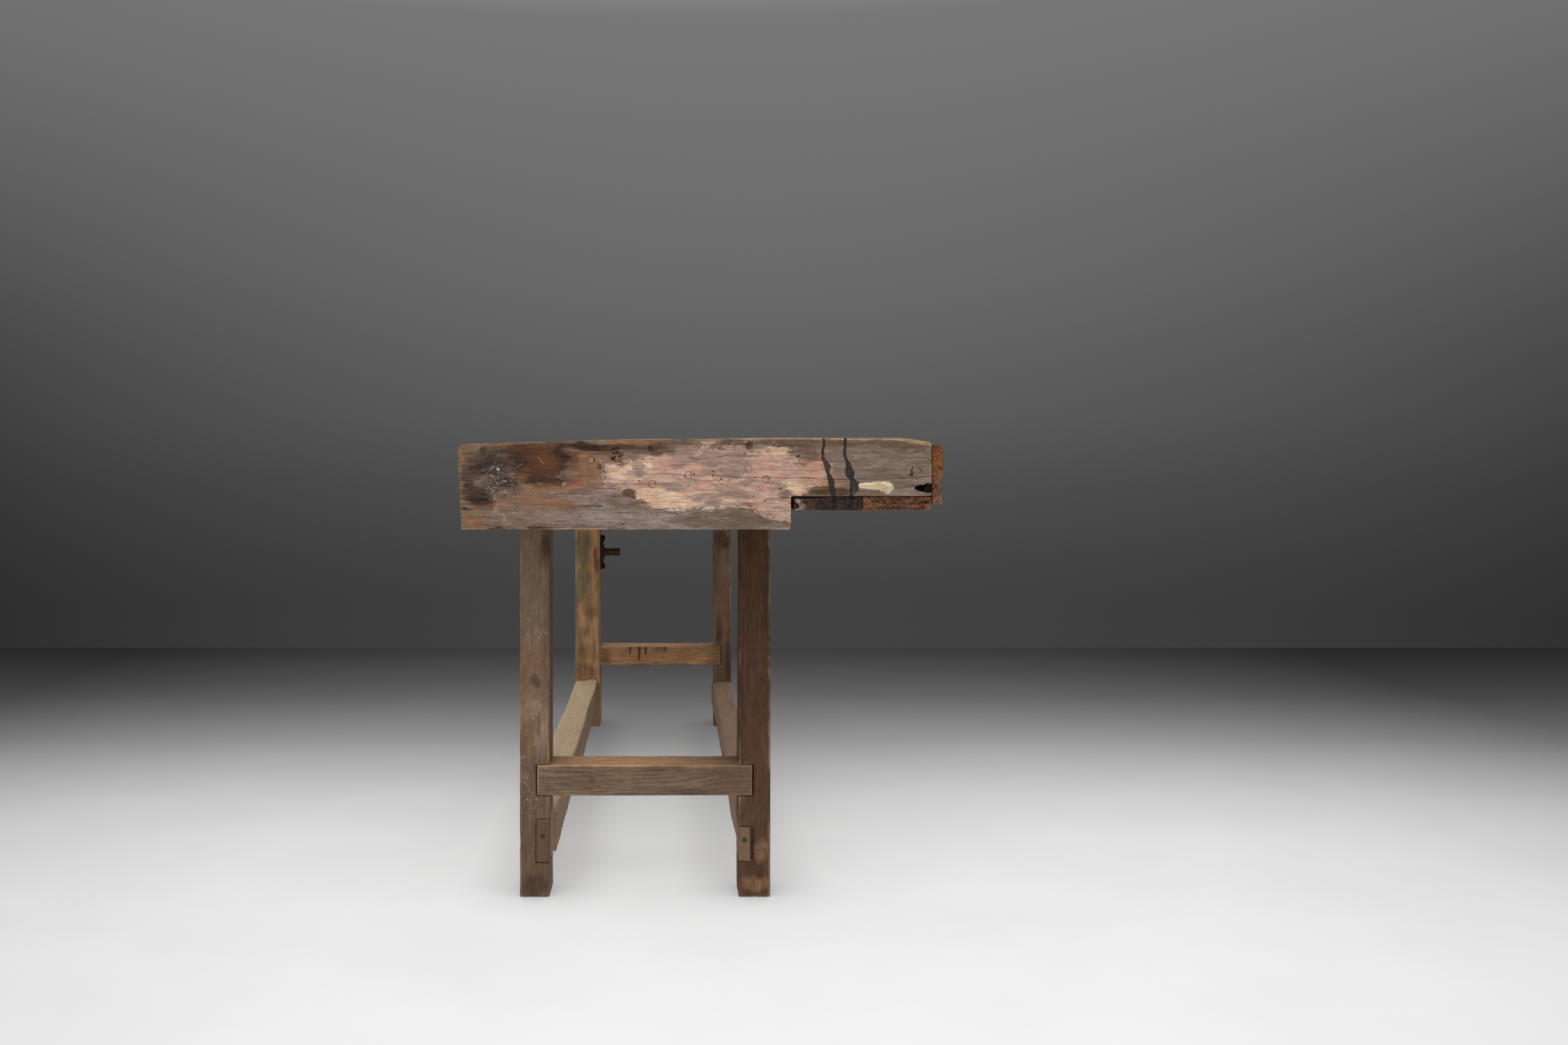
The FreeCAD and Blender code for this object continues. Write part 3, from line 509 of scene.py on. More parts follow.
def rgb(code):
    """A colour from its six-figure screen code."""
    shares = [int(code[i:i + 2], 16) / 255 for i in (0, 2, 4)]
    return tuple(s / 12.92 if s <= 0.04045 else ((s + 0.055) / 1.055) ** 2.4
                 for s in shares) + (1.0,)


def wood(name, axis, pith, light, dark, dirt, ring=4 * MM, ring_share=0.5, dirt_share=0.5,
         coats=(), worn_light=None, grain=1.0, checks=0.85):
    """Old bare wood: growth rings round the pith, fibres, pores, drying cracks and grime.

    Each coat is a function that lays a stain, paint or mark over the shader that it is given.
    """
    s = Shader(name, axis)
    across = [1.0, 1.0, 1.0]
    across[axis] = 0.0
    bend = s.noise(0.35, 0.07, 2)
    flat = s.add("VectorMath", operation="MULTIPLY", inputs={0: s.place, 1: tuple(across)})
    away = s.add("VectorMath", out="Value", operation="DISTANCE",
                 inputs={0: flat, 1: tuple(p * a for p, a in zip(pith, across))})
    turns = s.times_plus(bend, 0.045 / ring, s.math("DIVIDE", away, ring))
    step = s.math("FRACT", s.times_plus(s.noise(0.12, 0.012, 3), 1.4, turns))
    late = s.times(s.span(step, 0.25, 0.85), s.span(step, 1.0, 0.9))
    fibres = s.noise(0.05, 0.0016, 4, 0.6)
    hairs = s.noise(0.02, 0.0005, 2)
    tone = s.noise(0.30, 0.035, 4, 0.6, 0.4)
    blotch = s.noise(0.09, 0.05, 5, 0.62, 0.6)
    share = s.times_plus(late, ring_share, s.span(fibres, 0.35, 0.68, 0.0, 0.55))
    s.colour = s.mix(share, light, dark)
    s.tint(s.span(tone, 0.3, 0.7, 0.0, 0.55), dark)
    s.tint(s.times(s.span(blotch, 0.42, 0.66), dirt_share), dirt)
    s.tint(s.span(hairs, 0.52, 0.70, 0.0, 0.55), dirt)
    if worn_light:
        scuff = s.times(s.span(s.field("edge"), 0.35, 0.95), s.span(blotch, 0.40, 0.62, 1.0, 0.0))
        s.tint(s.times(scuff, 0.75), worn_light)
    ridge = s.math("ABSOLUTE", s.minus(s.noise(0.26, 0.016, 3, 0.5), 0.5))
    where = s.span(s.noise(0.14, 0.03, 2), 0.50, 0.60)
    check = s.times(s.span(ridge, 0.011, 0.002), where)
    s.tint(s.times(check, checks), "1a1411")
    s.height = s.times_plus(fibres, 0.8, s.times(late, 0.25))
    s.lift(hairs, 0.35)
    s.lift(check, -1.8 * checks)
    s.rough = s.times_plus(fibres, 0.25, 0.58)
    for coat in coats:
        coat(s)
    streaks = s.span(s.noise(0.045, 0.0034, 6, 0.75, 0.6), 0.28, 0.72, 0.62, 1.34)
    s.tint(0.85 * grain, streaks, "MULTIPLY")
    mottle = s.span(s.noise(0.016, 0.009, 5, 0.7, 0.8), 0.3, 0.7, 0.82, 1.16)
    s.tint(0.3 + 0.7 * grain, mottle, "MULTIPLY")
    cloudy = s.noise(0.07, 0.04, 6, 0.68, 1.2)
    s.tint(s.span(cloudy, 0.52, 0.72, 0.0, 0.28), dirt)
    s.tint(s.span(cloudy, 0.48, 0.28, 0.0, 0.30), "c9b29c", "SOFT_LIGHT")
    s.tint(s.span(s.noise(0.010, 0.0022, 3, 0.6), 0.61, 0.72, 0.0, 0.6 * grain), "2a1f19")
    return s.finish(0.7 * MM, level=0.12)


# Coats: each function gives a function that changes a shader

def film(field, first, second, coarse=0.25, fine=0.2, soft=0.06, cover=1.0, wear=0.5,
         rough=None, thick=0.0):
    """A coat of paint or stain where a field is over a half, ragged at its rim."""
    def lay(s):
        lumps = s.noise(0.030, 0.007, 4, 0.65)
        specks = s.noise(0.007, 0.0016, 3, 0.6)
        fibres = s.noise(0.05, 0.0016, 4, 0.6)
        value = s.times_plus(specks, fine, s.times_plus(lumps, coarse, s.field(field)))
        value = s.minus(value, 0.5 * (coarse + fine))
        bare = s.span(fibres, 0.62, 0.44, 1.0 - wear, 1.0)
        mask = s.times(s.times(s.span(value, 0.5 - soft, 0.5 + soft), bare), cover)
        s.tint(mask, s.mix(s.span(lumps, 0.35, 0.65), first, second))
        if rough is not None:
            s.rough = s.times_plus(mask, rough - 0.65, s.rough)
        if thick:
            s.lift(mask, thick)
    return lay


def brushed(field, code, tilt, cover=0.6, low=0.52, high=0.63):
    """Thin strokes of a dry brush, at a tilt to the grain."""
    def sweep(s):
        turned = s.add("VectorRotate", rotation_type="X_AXIS",
                       inputs={"Vector": s.place, "Angle": tilt})
        spread = s.add("VectorMath", operation="MULTIPLY", inputs={0: turned, 1: (60, 14, 190)})
        bristles = s.span(s.lumps(spread, 1.0, 5.0, 0.68), low, high)
        s.tint(s.times(bristles, s.span(s.field(field), 0.4, 0.7, 0.0, cover)), code)
    return sweep


def line(field, code, half_width, deep, cover=1.0):
    """A crack or scratch along a named line: its colour, half width in pixels and depth."""
    def cut(s):
        shake = s.noise(0.012, 0.003, 2)
        offset = s.times_plus(shake, 1.6, s.field(field + "_offset"))
        offset = s.math("ABSOLUTE", s.minus(offset, 0.8))
        mask = s.times(s.span(offset, half_width * 1.6, half_width * 0.5, 0, cover),
                       s.span(s.field(field + "_on"), 0.15, 0.6))
        s.tint(mask, code)
        s.lift(mask, -deep)
    return cut


def scuffs(field, code, size, width, cover):
    """Thin broken scratches that wander about where a field is high."""
    def rub(s):
        ridge = s.math("ABSOLUTE", s.minus(s.lumps(s.place, 1 / size, 3.0, 0.6, 0.6), 0.5))
        broken = s.span(s.noise(size * 1.3, size * 0.5, 3), 0.50, 0.60)
        mask = s.times(s.span(ridge, width, width * 0.4), broken)
        s.tint(s.times(mask, s.span(s.field(field), 0.4, 0.75, 0.0, cover)), code)
    return rub


def spatter(field, code, size, share, thick=0.3, largest=0.38):
    """Small specks where a field is high: their colour, spacing and the share of places hit."""
    def flick(s):
        cell = s.add("VectorMath", operation="SCALE", inputs={0: s.place, "Scale": 1 / size})
        node = s.add("TexVoronoi", inputs={"Vector": cell, "Scale": 1.0, "Randomness": 1.0})
        random = s.add("SeparateColor", out="Red", inputs={0: node.node.outputs["Color"]})
        hit = s.math("LESS_THAN", random, s.times(s.field(field), share))
        radius = s.times_plus(random, (largest - 0.04) / share, 0.04)
        away = s.times_plus(s.lumps(cell, 2.2), 0.5, s.minus(node, 0.25))
        mask = s.times(s.span(s.minus(away, radius), 0.04, -0.04), hit)
        s.tint(mask, code)
        s.lift(mask, thick)
    return flick


def scatter_film(first, second, size_along, size_across, low, high, cover, shift=0.0,
                 rough=0.55, wear=0.4, thick=0.1):
    """Patches of stain or paint that lie where noise puts them."""
    def lay(s):
        spot = s.add("VectorMath", operation="ADD", inputs={
            0: s.stretched(size_along, size_across), 1: (shift, shift * 0.7, shift * 1.3)})
        lumps = s.lumps(spot, 1.0, 6.0, 0.62, 0.5)
        fibres = s.noise(0.05, 0.0016, 4, 0.6)
        mask = s.times(s.span(lumps, low, high),
                       s.span(fibres, 0.62, 0.44, cover * (1.0 - wear), cover))
        paint = s.mix(s.span(s.noise(0.03, 0.007, 4, 0.65), 0.35, 0.65), first, second)
        s.rough = s.mix(mask, s.rough, (rough, rough, rough, 1))
        s.tint(mask, paint)
        s.lift(mask, thick)
    return lay


def sawn(spacing, depth=0.5, shade=0.25):
    """Fine marks of a saw across the grain."""
    def mark(s):
        along = s.add("SeparateXYZ", out="XYZ"[s.axis], inputs={0: s.place})
        turn = s.times_plus(s.noise(0.02, 0.05, 2), 5.0, s.times(along, 2 * math.pi / spacing))
        wave = s.span(s.math("SINE", turn), -0.2, 0.9)
        groove = s.times(wave, s.span(s.noise(0.03, 0.015, 3), 0.38, 0.60))
        s.tint(s.times(groove, shade), "2e211a")
        s.lift(groove, -depth)
    return mark


OIL = scatter_film("2f241d", "3a2c22", 0.30, 0.09, 0.50, 0.66, 0.75, 3.0, 0.45)
GREY_BLOOM = scatter_film("8d8075", "9b8d80", 0.22, 0.07, 0.48, 0.70, 0.45, 9.0, 0.75)
PINK_SMEARS = scatter_film("b89484", "a98577", 0.16, 0.05, 0.60, 0.64, 0.8, 21.0, 0.5, 0.6)
WHITE_SMEARS = scatter_film("b9b1a4", "a49b8e", 0.10, 0.03, 0.64, 0.67, 0.8, 33.0, 0.55, 0.7)
RUST_STAIN = scatter_film("5b3320", "6b3d25", 0.10, 0.06, 0.62, 0.72, 0.7, 41.0, 0.6)


# The right end cap, whose outer face is what the photograph shows most of

# Ovals on the cap's face by field: the pixel of the middle, half the width and half the height
CAP_OVALS = {
    "raw": [(659, 668, 4, 26), (660, 708, 6, 24), (676, 748, 20, 11), (720, 635, 70, 2.4),
        (915, 632, 48, 2.6), (888, 660, 7, 6), (779, 665, 18, 9), (766, 697, 14, 4),
        (1124, 757, 14, 3), (672, 640, 12, 4)],
    "stain": [(704, 672, 38, 24), (714, 694, 30, 14), (774, 664, 44, 28), (830, 640, 95, 5),
        (915, 646, 32, 6), (718, 757, 12, 3), (692, 712, 22, 15), (803, 660, 9, 20),
        (760, 650, 64, 12), (793, 686, 26, 11), (672, 690, 10, 22)],
    "black": [(803, 657, 8, 16), (745, 662, 14, 10), (702, 668, 22, 13), (725, 688, 16, 9),
        (692, 714, 15, 10), (762, 688, 18, 6), (840, 641, 30, 4), (672, 731, 9, 2.5)],
    "glow": [(783, 664, 17, 11), (748, 684, 9, 6), (822, 662, 9, 10), (775, 645, 14, 4)],
    "chocolate": [(772, 666, 38, 26), (800, 662, 13, 26), (750, 650, 22, 10), (790, 686, 22, 10),
        (840, 641, 60, 5), (888, 645, 34, 8), (930, 644, 24, 7), (1076, 640, 9, 5),
        (885, 652, 12, 9)],
    "warm": [(842, 664, 24, 26), (838, 690, 24, 14), (770, 700, 30, 8), (862, 645, 26, 8),
        (815, 699, 26, 8), (734, 634, 60, 4), (1180, 660, 8, 20), (843, 655, 20, 10),
        (760, 714, 34, 8), (790, 724, 30, 8), (700, 722, 30, 8)],
    "dusky": [(1060, 748, 62, 15), (1008, 750, 40, 9), (1128, 712, 10, 6), (1100, 746, 20, 8)],
    "dim": [(728, 738, 54, 20), (762, 716, 34, 10), (700, 730, 30, 12)],
    "mauve": [(842, 708, 44, 15), (850, 742, 80, 14), (930, 745, 60, 10), (868, 700, 20, 16)],
    "pink": [(882, 682, 19, 22), (905, 688, 26, 28), (950, 690, 58, 36), (1010, 678, 60, 42),
        (1062, 682, 56, 44), (1105, 672, 46, 30), (1110, 708, 34, 20), (1148, 688, 36, 16),
        (1118, 734, 18, 14), (1080, 716, 40, 16), (948, 658, 24, 7), (1176, 672, 22, 10),
        (1000, 714, 70, 16)],
    "cream": [(884, 680, 14, 15), (916, 669, 22, 8), (940, 712, 40, 10), (975, 722, 34, 7),
        (1150, 700, 34, 6), (1115, 648, 22, 7), (1030, 720, 40, 6), (905, 690, 12, 8)],
    "rose": [(926, 700, 22, 10), (960, 668, 18, 12), (1010, 690, 14, 16), (1048, 728, 9, 6),
        (1095, 668, 16, 18), (1098, 700, 12, 9), (1125, 684, 18, 7), (998, 665, 8, 12)],
    "patch": [(1049, 668, 19, 20), (1050, 706, 22, 14), (1092, 642, 22, 6), (967, 699, 16, 7),
        (1115, 702, 11, 9), (980, 655, 20, 16), (918, 672, 9, 11), (895, 716, 12, 8),
        (1075, 690, 8, 10), (1005, 716, 10, 7), (1060, 712, 26, 9), (1022, 716, 14, 8),
        (1040, 726, 26, 5), (1020, 660, 20, 16), (905, 650, 30, 5)],
    "band": [(870, 741, 45, 17), (930, 747, 60, 17), (1000, 750, 70, 16), (1050, 748, 50, 15),
        (1085, 756, 36, 11), (1112, 757, 20, 6)],
    "bare": [(1260, 672, 90, 40), (1300, 690, 60, 30), (1215, 650, 60, 18)],
    "umber": [(1140, 645, 40, 8), (1178, 704, 18, 8), (1205, 638, 40, 4), (1260, 637, 60, 4),
        (1150, 636, 60, 4), (1060, 636, 30, 5), (1170, 662, 10, 14), (1310, 644, 30, 4)],
    "orange": [(1176, 678, 24, 12), (1192, 690, 18, 9), (1165, 668, 14, 7), (1222, 700, 8, 6)],
    "blue": [(903, 657, 4.5, 4.5), (877, 699, 5, 3.0), (913, 676, 5, 3)],
    "crumbs": [(715, 690, 40, 36), (745, 725, 40, 22), (885, 672, 40, 20), (980, 735, 90, 8),
        (1110, 740, 24, 12)],
    "pits": [(1000, 690, 140, 40), (880, 735, 140, 20), (740, 700, 60, 40)],
    "scratched": [(715, 688, 30, 32), (722, 735, 22, 16), (770, 706, 30, 6), (880, 672, 26, 20),
        (812, 684, 10, 8)],
}

# Runs on the cap's face, each a list of (pixel x, pixel y, width)
CREAM_DAB = [[(1235, 697, 7), (1250, 697.5, 10), (1262, 697.5, 12), (1273, 699.5, 17)]]
DARK_KNOTS = [[(877, 646.5, 2), (882, 643.5, 4), (889, 642.5, 4)],
    [(880, 650, 2), (886, 648.5, 5)], [(893, 650, 2), (889, 655, 4)],
    [(878, 657.5, 3), (882, 655, 3)], [(852, 642, 1.6), (855, 641, 1.2)],
    [(851, 658, 1.4), (852, 661, 1.2)]]
CAVITY = [[(1315, 699.5, 2), (1320, 700, 5), (1326, 701.5, 9), (1332, 702, 12), (1337, 701, 12)]]
NICKS = [[(1310, 670, 1.0), (1308.6, 677, 1.7), (1309.6, 682, 2.2)],
    [(1305, 682, 1.2), (1309, 682.6, 1.6)], [(1319, 673, 1.0), (1324, 676, 1.5)]]
PAINT_LIP = [[(948, 728, 3), (970, 730, 5), (990, 733, 4), (1012, 729, 5), (1042, 727, 4),
    (1064, 730, 4), (1084, 732, 4), (1100, 738, 6), (1116, 744, 6), (1134, 747, 5)],
    [(1134, 720, 3), (1134, 746, 4)]]
WHITE_CRUST = [[(1133, 724, 1.4), (1133.5, 742, 2)],
    [(858, 656, 0.9), (863, 664, 1.3), (865, 675, 1.0), (864, 684, 1.3), (868, 691, 1.5)],
    [(868.5, 697, 0.9), (867.6, 706, 0.8), (868, 716, 1.2)],
    [(868, 692, 1.0), (882, 693, 1.3), (900, 688, 1.0), (916, 684, 0.9)],
    [(772, 656, 0.9), (780, 666, 0.9)], [(754, 684, 0.8), (754, 693, 0.8)],
    [(752, 703, 0.9), (755, 700, 0.9)], [(702, 682, 1.2), (709, 685, 1.6)],
    [(720, 690, 1.4), (727, 691, 1.3)], [(698, 701, 1.0), (712, 700, 1.2)],
    [(720, 707, 1.2), (728, 706, 1.2)], [(748, 706, 0.9), (760, 705, 0.9)],
    [(826, 732, 0.9), (834, 729.5, 0.9)]]
CRUST_SPOTS = [(708, 705, 1.5, 1.2), (714.5, 686, 1.2, 1.2), (709, 733, 1.7, 1.6),
    (710, 714, 1.1, 3), (722, 738, 1.5, 1.3), (724, 745, 1.4, 1.7), (711, 729, 1.3, 2.0),
    (809, 693.6, 2.6, 2.0), (800, 684, 1.2, 0.9), (745, 709, 2, 0.7), (806, 680, 1.0, 1.0),
    (1130, 746, 3, 3)]

# Smaller marks by field: how ragged they are in pixels, their ovals and their runs
CAP_MARKS = {
    "olive": (0.9, [(903, 708, 10, 7), (861, 670, 5.5, 4), (1178, 704, 18, 7), (908, 712, 5, 5),
        (1206, 706, 12, 6)]),
    "ochre": (0.9, [(1262, 697, 9, 4), (1250, 701, 10, 2), (1270, 702, 6, 3)]),
    "dark_plug": (0, [(693, 647, 5.2, 5.2), (933.6, 643.9, 5.4, 5.4), (1075, 639.5, 5.4, 5.4)]),
    "pale_plug": (0, [(847.7, 660, 4.4, 4.4), (936.3, 694.8, 4.6, 4.6), (987.7, 682, 4.2, 4.2),
        (1099.6, 687.9, 4.2, 4.2)]),
    "dab": (0.9, [], CREAM_DAB),
    "knot": (2.0, [], DARK_KNOTS),
    "fleck": (0.9, [], [[(878, 655, 1.4), (886, 653, 2.0), (890, 651, 1.2)],
        [(883, 659, 1.4), (892, 656, 1.6)], [(880, 666, 1.2), (887, 662, 1.6)],
        [(881, 647.5, 1.2), (889, 646.5, 1.4)], [(888, 634, 3.0), (926, 632, 3.0)]]),
    # The tan run along the top edge is a painted highlight: light from above on the worn, rounded
    # arris
    "tan": (0.9, [], [[(1030, 629, 2), (1090, 629, 2.6), (1150, 629, 4.6), (1220, 629, 4.2),
        (1290, 630, 5.2), (1338, 638, 6.5)]]),
    "drip": (0.9, [], [[(1181.8, 631, 4), (1181.4, 656, 4), (1188.6, 671, 9.6), (1187.8, 679, 5),
        (1192.2, 690, 9), (1195.8, 714, 8)], [(1212.5, 628, 4.4), (1212.9, 652, 4.6),
        (1214.9, 663, 5.6), (1220.5, 679, 13.6), (1222.5, 688, 6.4), (1220.5, 714, 6.4)],
        [(1224, 690, 7), (1228.5, 694, 7), (1227, 708, 2.4)], [(1230, 694, 3), (1230.5, 706, 2)]]),
    "red": (0.9, [(825, 692.5, 10, 3.6), (829, 690, 7, 3)], [[(1067, 722, 3), (1067, 733, 2)],
        [(1071.5, 721, 3), (1072, 732, 2)], [(1076, 722, 3.2), (1076, 731, 2)],
        [(1067, 722, 2.4), (1078, 722.5, 2.4)]]),
}

# Thin lines, each a list of pixels, and the pixels of old nail holes
CRACKS = [[(660, 730), (705, 731), (740, 733)], [(905, 694.5), (932, 695), (961, 694.6)],
    [(966, 683), (988, 682), (1018, 682.3), (1060, 685), (1110, 686.6), (1150, 686)],
    [(1150, 686), (1186, 688)], [(1194, 688), (1216, 688.5)], [(1226, 688), (1280, 687)],
    [(1276, 687), (1308, 685.5), (1337, 683.5)], [(1100, 716.5), (1118, 716), (1137, 715)],
    [(988, 658), (1004, 660)], [(667, 717), (700, 718)], [(1030, 655), (1046, 654)],
    [(660, 690), (676, 689)], [(838, 727), (862, 726)], [(880, 737), (910, 736)]]
SCRATCHES = [[(689, 690), (711, 664)], [(990, 692), (1014, 714)], [(1014, 714), (1020, 722)],
    [(944, 744), (990, 736)], [(1250, 668), (1275, 661)], [(1085, 650), (1090, 690)],
    [(930, 752), (962, 738)], [(740, 672), (750, 665)], [(1240, 672), (1262, 668)],
    [(701, 676), (716, 668)]]
NAIL_HOLES = [(812.9, 731), (745.9, 746.3), (831.6, 741.8), (789.6, 749.5), (880.7, 713.2),
    (894, 752.9), (1020, 641.8), (1068.9, 651.6), (1035.4, 688.2), (930, 706.4), (972.9, 737.9),
    (1013.6, 742), (988, 696.8), (1097.9, 718.6), (1119.3, 702), (1151.4, 685.9), (1326.9, 648),
    (739, 709), (745, 709.5), (776, 708), (1121, 701), (917, 690)]
NAIL_HOLE_RADIUS = 1.2 * MM

# How deep the marks are cut into the cap's face, and how far the paint stands out of it
CRACK_DEPTH = 0.4 * MM
NICK_DEPTH = 2.0 * MM
KNOT_DEPTH = 1.6 * MM
CAVITY_DEPTH = 26 * MM
FACE_WAVE = 0.5 * MM
LIP_RISE = 0.8 * MM
DAB_RISE = 0.25 * MM


def spot_on_cap(x, y):
    """The place on the right cap's face that a pixel of the photograph shows."""
    return Vector((CAP_FACE_X, CAMERA.y + (x - VANISH_X) * CAP_PX,
                   CAMERA.z - (y - VANISH_Y) * CAP_PX))


def peg_rims(face):
    """How many pixels each point lies outside the rim of the nearest peg."""
    ring = np.full(len(face.x), 8.0)
    for low, high in islands("end_cap_pegs_right"):
        rim = (high[1] - low[1]) / 2 / CAP_PX
        x, y = spots_in_photo(np.array([(low + high) / 2]), CAP_FACE_X)
        away = np.hypot(face.x - x, face.y - y) - rim
        ring = np.where(np.abs(away) < np.abs(ring), away, ring)
    return ring


def paint_cap(mesh, points, normals):
    """The fields of the cap's stains, paint and marks, at the places that the photo shows."""
    face = Face(points, normals)
    deep = Face(points, normals, reach=60 * MM).shown > 0
    for name, ovals in CAP_OVALS.items():
        set_field(mesh, name, face.marks(5.0, ovals))
    for name, mark in CAP_MARKS.items():
        set_field(mesh, name, face.marks(*mark))
    set_field(mesh, "lip", 0.68 * face.marks(5.0, (), PAINT_LIP))
    set_field(mesh, "crust", np.maximum(face.marks(0, (), WHITE_CRUST),
                                        face.marks(0.9, CRUST_SPOTS)))
    # The near-black hole film is painted shade inside the carved nicks and the torn cavity
    set_field(mesh, "hole", np.maximum(face.marks(0.9, (), NICKS),
                                       deep * strokes(*face.ragged(2.2), CAVITY)))
    set_field(mesh, "ring_offset", peg_rims(face))
    set_field(mesh, "ring_on", face.shown)
    for name, rows in (("crack", CRACKS), ("scratch", SCRATCHES)):
        offset, on = face.lines(rows)
        set_field(mesh, name + "_offset", offset.clip(-8, 8))
        set_field(mesh, name + "_on", on * face.shown)


def carve_cap(points, normals):
    """How far the cap's outer face is cut in by cracks, holes, knots and the torn corner."""
    face = Face(points, normals)
    offset, on = face.lines(CRACKS)
    near = face.ragged(1.2)
    lip = (strokes(*face.ragged(5.0), PAINT_LIP) - 0.3).clip(0)
    depth = CRACK_DEPTH * (1 - np.abs(offset) / 1.2).clip(0) * (on > 0.05)
    depth -= LIP_RISE * lip * (0.5 + cloud(points, (1, 0.004, 0.003), 2, 77))
    depth += CAVITY_DEPTH * bite(strokes(*face.ragged(2.2), CAVITY), 0.42, 5)
    depth += NICK_DEPTH * bite(strokes(*near, NICKS))
    depth += KNOT_DEPTH * bite(strokes(*near, DARK_KNOTS))
    depth -= DAB_RISE * bite(strokes(*near, CREAM_DAB), 0.45)
    depth += FACE_WAVE * cloud(points, (1, 0.05, 0.010), 3, 40).clip(0)
    return depth * face.shown


CAP_COATS = [
    film("bare", "83746a", "6f6057", 0.3, 0.3, 0.15, 0.75, 0.6),
    film("raw", "9c6840", "7c4f2f", 0.5, 0.6, 0.12, 0.7, 0.6),
    film("dim", "6f594b", "7f695b", 0.6, 0.5, 0.2, 0.8, 0.5),
    film("umber", "4c3c2f", "5f4b3b", 0.5, 0.4, 0.15, 0.75, 0.5),
    film("mauve", "93807a", "87706a", 0.5, 0.5, 0.14, 0.78, 0.6),
    film("warm", "8f664a", "7a543c", 0.6, 0.6, 0.2, 0.75, 0.5),
    film("stain", "3f3029", "4c3a30", 0.45, 0.4, 0.2, 0.9, 0.4),
    film("chocolate", "432919", "53321f", 0.6, 0.4, 0.25, 0.85, 0.3),
    film("black", "1f1816", "2a211e", 0.7, 0.45, 0.22, 0.8, 0.4),
    film("glow", "6d4527", "573620", 0.7, 0.5, 0.25, 0.7, 0.4),
    film("pink", "c6a390", "b28e7d", 0.5, 0.5, 0.06, 0.92, 0.5, None, 0.3),
    brushed("pink", "cdbdb4", 0.5, 0.35, 0.54, 0.70),
    brushed("pink", "927a70", -0.3, 0.45, 0.55, 0.68),
    film("cream", "d6bb9b", "c9a58a", 0.55, 0.6, 0.08, 0.82, 0.5),
    film("rose", "c09080", "b48076", 0.7, 0.6, 0.2, 0.5, 0.5),
    film("band", "857a73", "76695f", 0.45, 0.4, 0.10, 0.9, 0.45),
    film("dusky", "57463b", "655145", 0.6, 0.5, 0.22, 0.85, 0.4),
    brushed("band", "a39a94", 0.2, 0.4, 0.56, 0.66),
    film("patch", "8a766c", "77645a", 0.7, 0.8, 0.16, 0.8, 0.6),
    film("orange", "ac7652", "98674a", 0.8, 0.8, 0.25, 0.5, 0.7),
    # Painted highlight along the top edge's worn arris
    film("tan", "b3936f", "94775a", 0.4, 0.6, 0.12, 0.8, 0.4),
    film("olive", "3c2c1c", "533f28", 0.4, 0.5, 0.15, 0.95, 0.2),
    film("blue", "5c5859", "6b6666", 0.4, 0.5, 0.2, 0.6, 0.4),
    film("red", "93413f", "7e3a38", 0.5, 0.8, 0.2, 0.7, 0.7),
    spatter("crumbs", "b7aca2", 2.4 * MM, 0.12),
    scuffs("scratched", "a99c92", 7 * MM, 0.016, 0.75),
    scuffs("scratched", "c0b2a6", 4 * MM, 0.02, 0.7),
    scuffs("pink", "8a7368", 9 * MM, 0.012, 0.45),
    film("dark_plug", "2e2019", "40301f", 0.2, 0.3, 0.2, 0.75, 0.3),
    film("pale_plug", "bd9c88", "a98874", 0.3, 0.3, 0.2, 0.55, 0.4),
    film("lip", "d2c1b1", "c6b0a0", 0.3, 1.5, 0.1, 0.85, 0.5, None, 0.5),
    spatter("lip", "2c2420", 4.5 * MM, 0.2, -0.6),
    film("crust", "c4b5a8", "b09c8d", 0.5, 1.4, 0.16, 0.65, 0.6, None, 0.5),
    film("dab", "ccb48e", "dfd1b6", 0.25, 0.7, 0.08, 0.92, 0.55, 0.45, 0.5),
    film("ochre", "a98c52", "bda468", 0.6, 0.8, 0.25, 0.6, 0.5),
    line("scratch", "b9a898", 0.35, 0.4, 0.32),
    line("ring", "2a1e18", 0.34, 0.5, 0.38),
    line("crack", "1d1512", 0.34, 1.0, 0.72),
    spatter("pits", "2c2420", 4.5 * MM, 0.05, -0.5),
    film("knot", "17100c", "2e1d13", 0.7, 1.3, 0.15, 0.9, 0.1),
    film("fleck", "a66d3d", "7e4c28", 0.6, 1.2, 0.15, 0.8, 0.3),
    film("drip", "15110f", "2a2624", 0.08, 0.16, 0.05, 0.95, 0.1, 0.26, 0.25),
    # Painted shade: near black in the carved nicks and cavity
    film("hole", "0d0a09", "120d0b", 0.03, 0.08, 0.05, 1.0, 0.0),
]


def add_pin(work, middle, axis, length, inner, outer, segments):
    """A round pin along an axis, with the radius of each end, to cut a hole with."""
    turn = Vector((0, 0, 1)).rotation_difference(Vector([i == axis for i in range(3)]))
    place = Matrix.Translation(middle) @ turn.to_matrix().to_4x4()
    bmesh.ops.create_cone(work, cap_ends=True, segments=segments, radius1=inner, radius2=outer,
                          depth=length, matrix=place)


def peg_cutter(node, axis, gap=0.25 * MM):
    """Pins a little wider than a node's pegs, to cut their holes."""
    work = bmesh.new()
    across = 1 if axis == 0 else 0
    for low, high in islands(node):
        radius = (high - low)[across] / 2 + gap
        add_pin(work, Vector((low + high) / 2), axis, (high - low)[axis] + 8 * MM, radius, radius,
                40)
    return as_mesh(work)


def nail_hole_cutter():
    """Fine pins that cut the old nail holes into the cap's face."""
    work = bmesh.new()
    for number, pixel in enumerate(NAIL_HOLES):
        radius = NAIL_HOLE_RADIUS * (0.75 + 0.25 * (number % 3))
        add_pin(work, spot_on_cap(*pixel), 0, 14 * MM, radius * 0.5, radius, 9)
    return as_mesh(work)


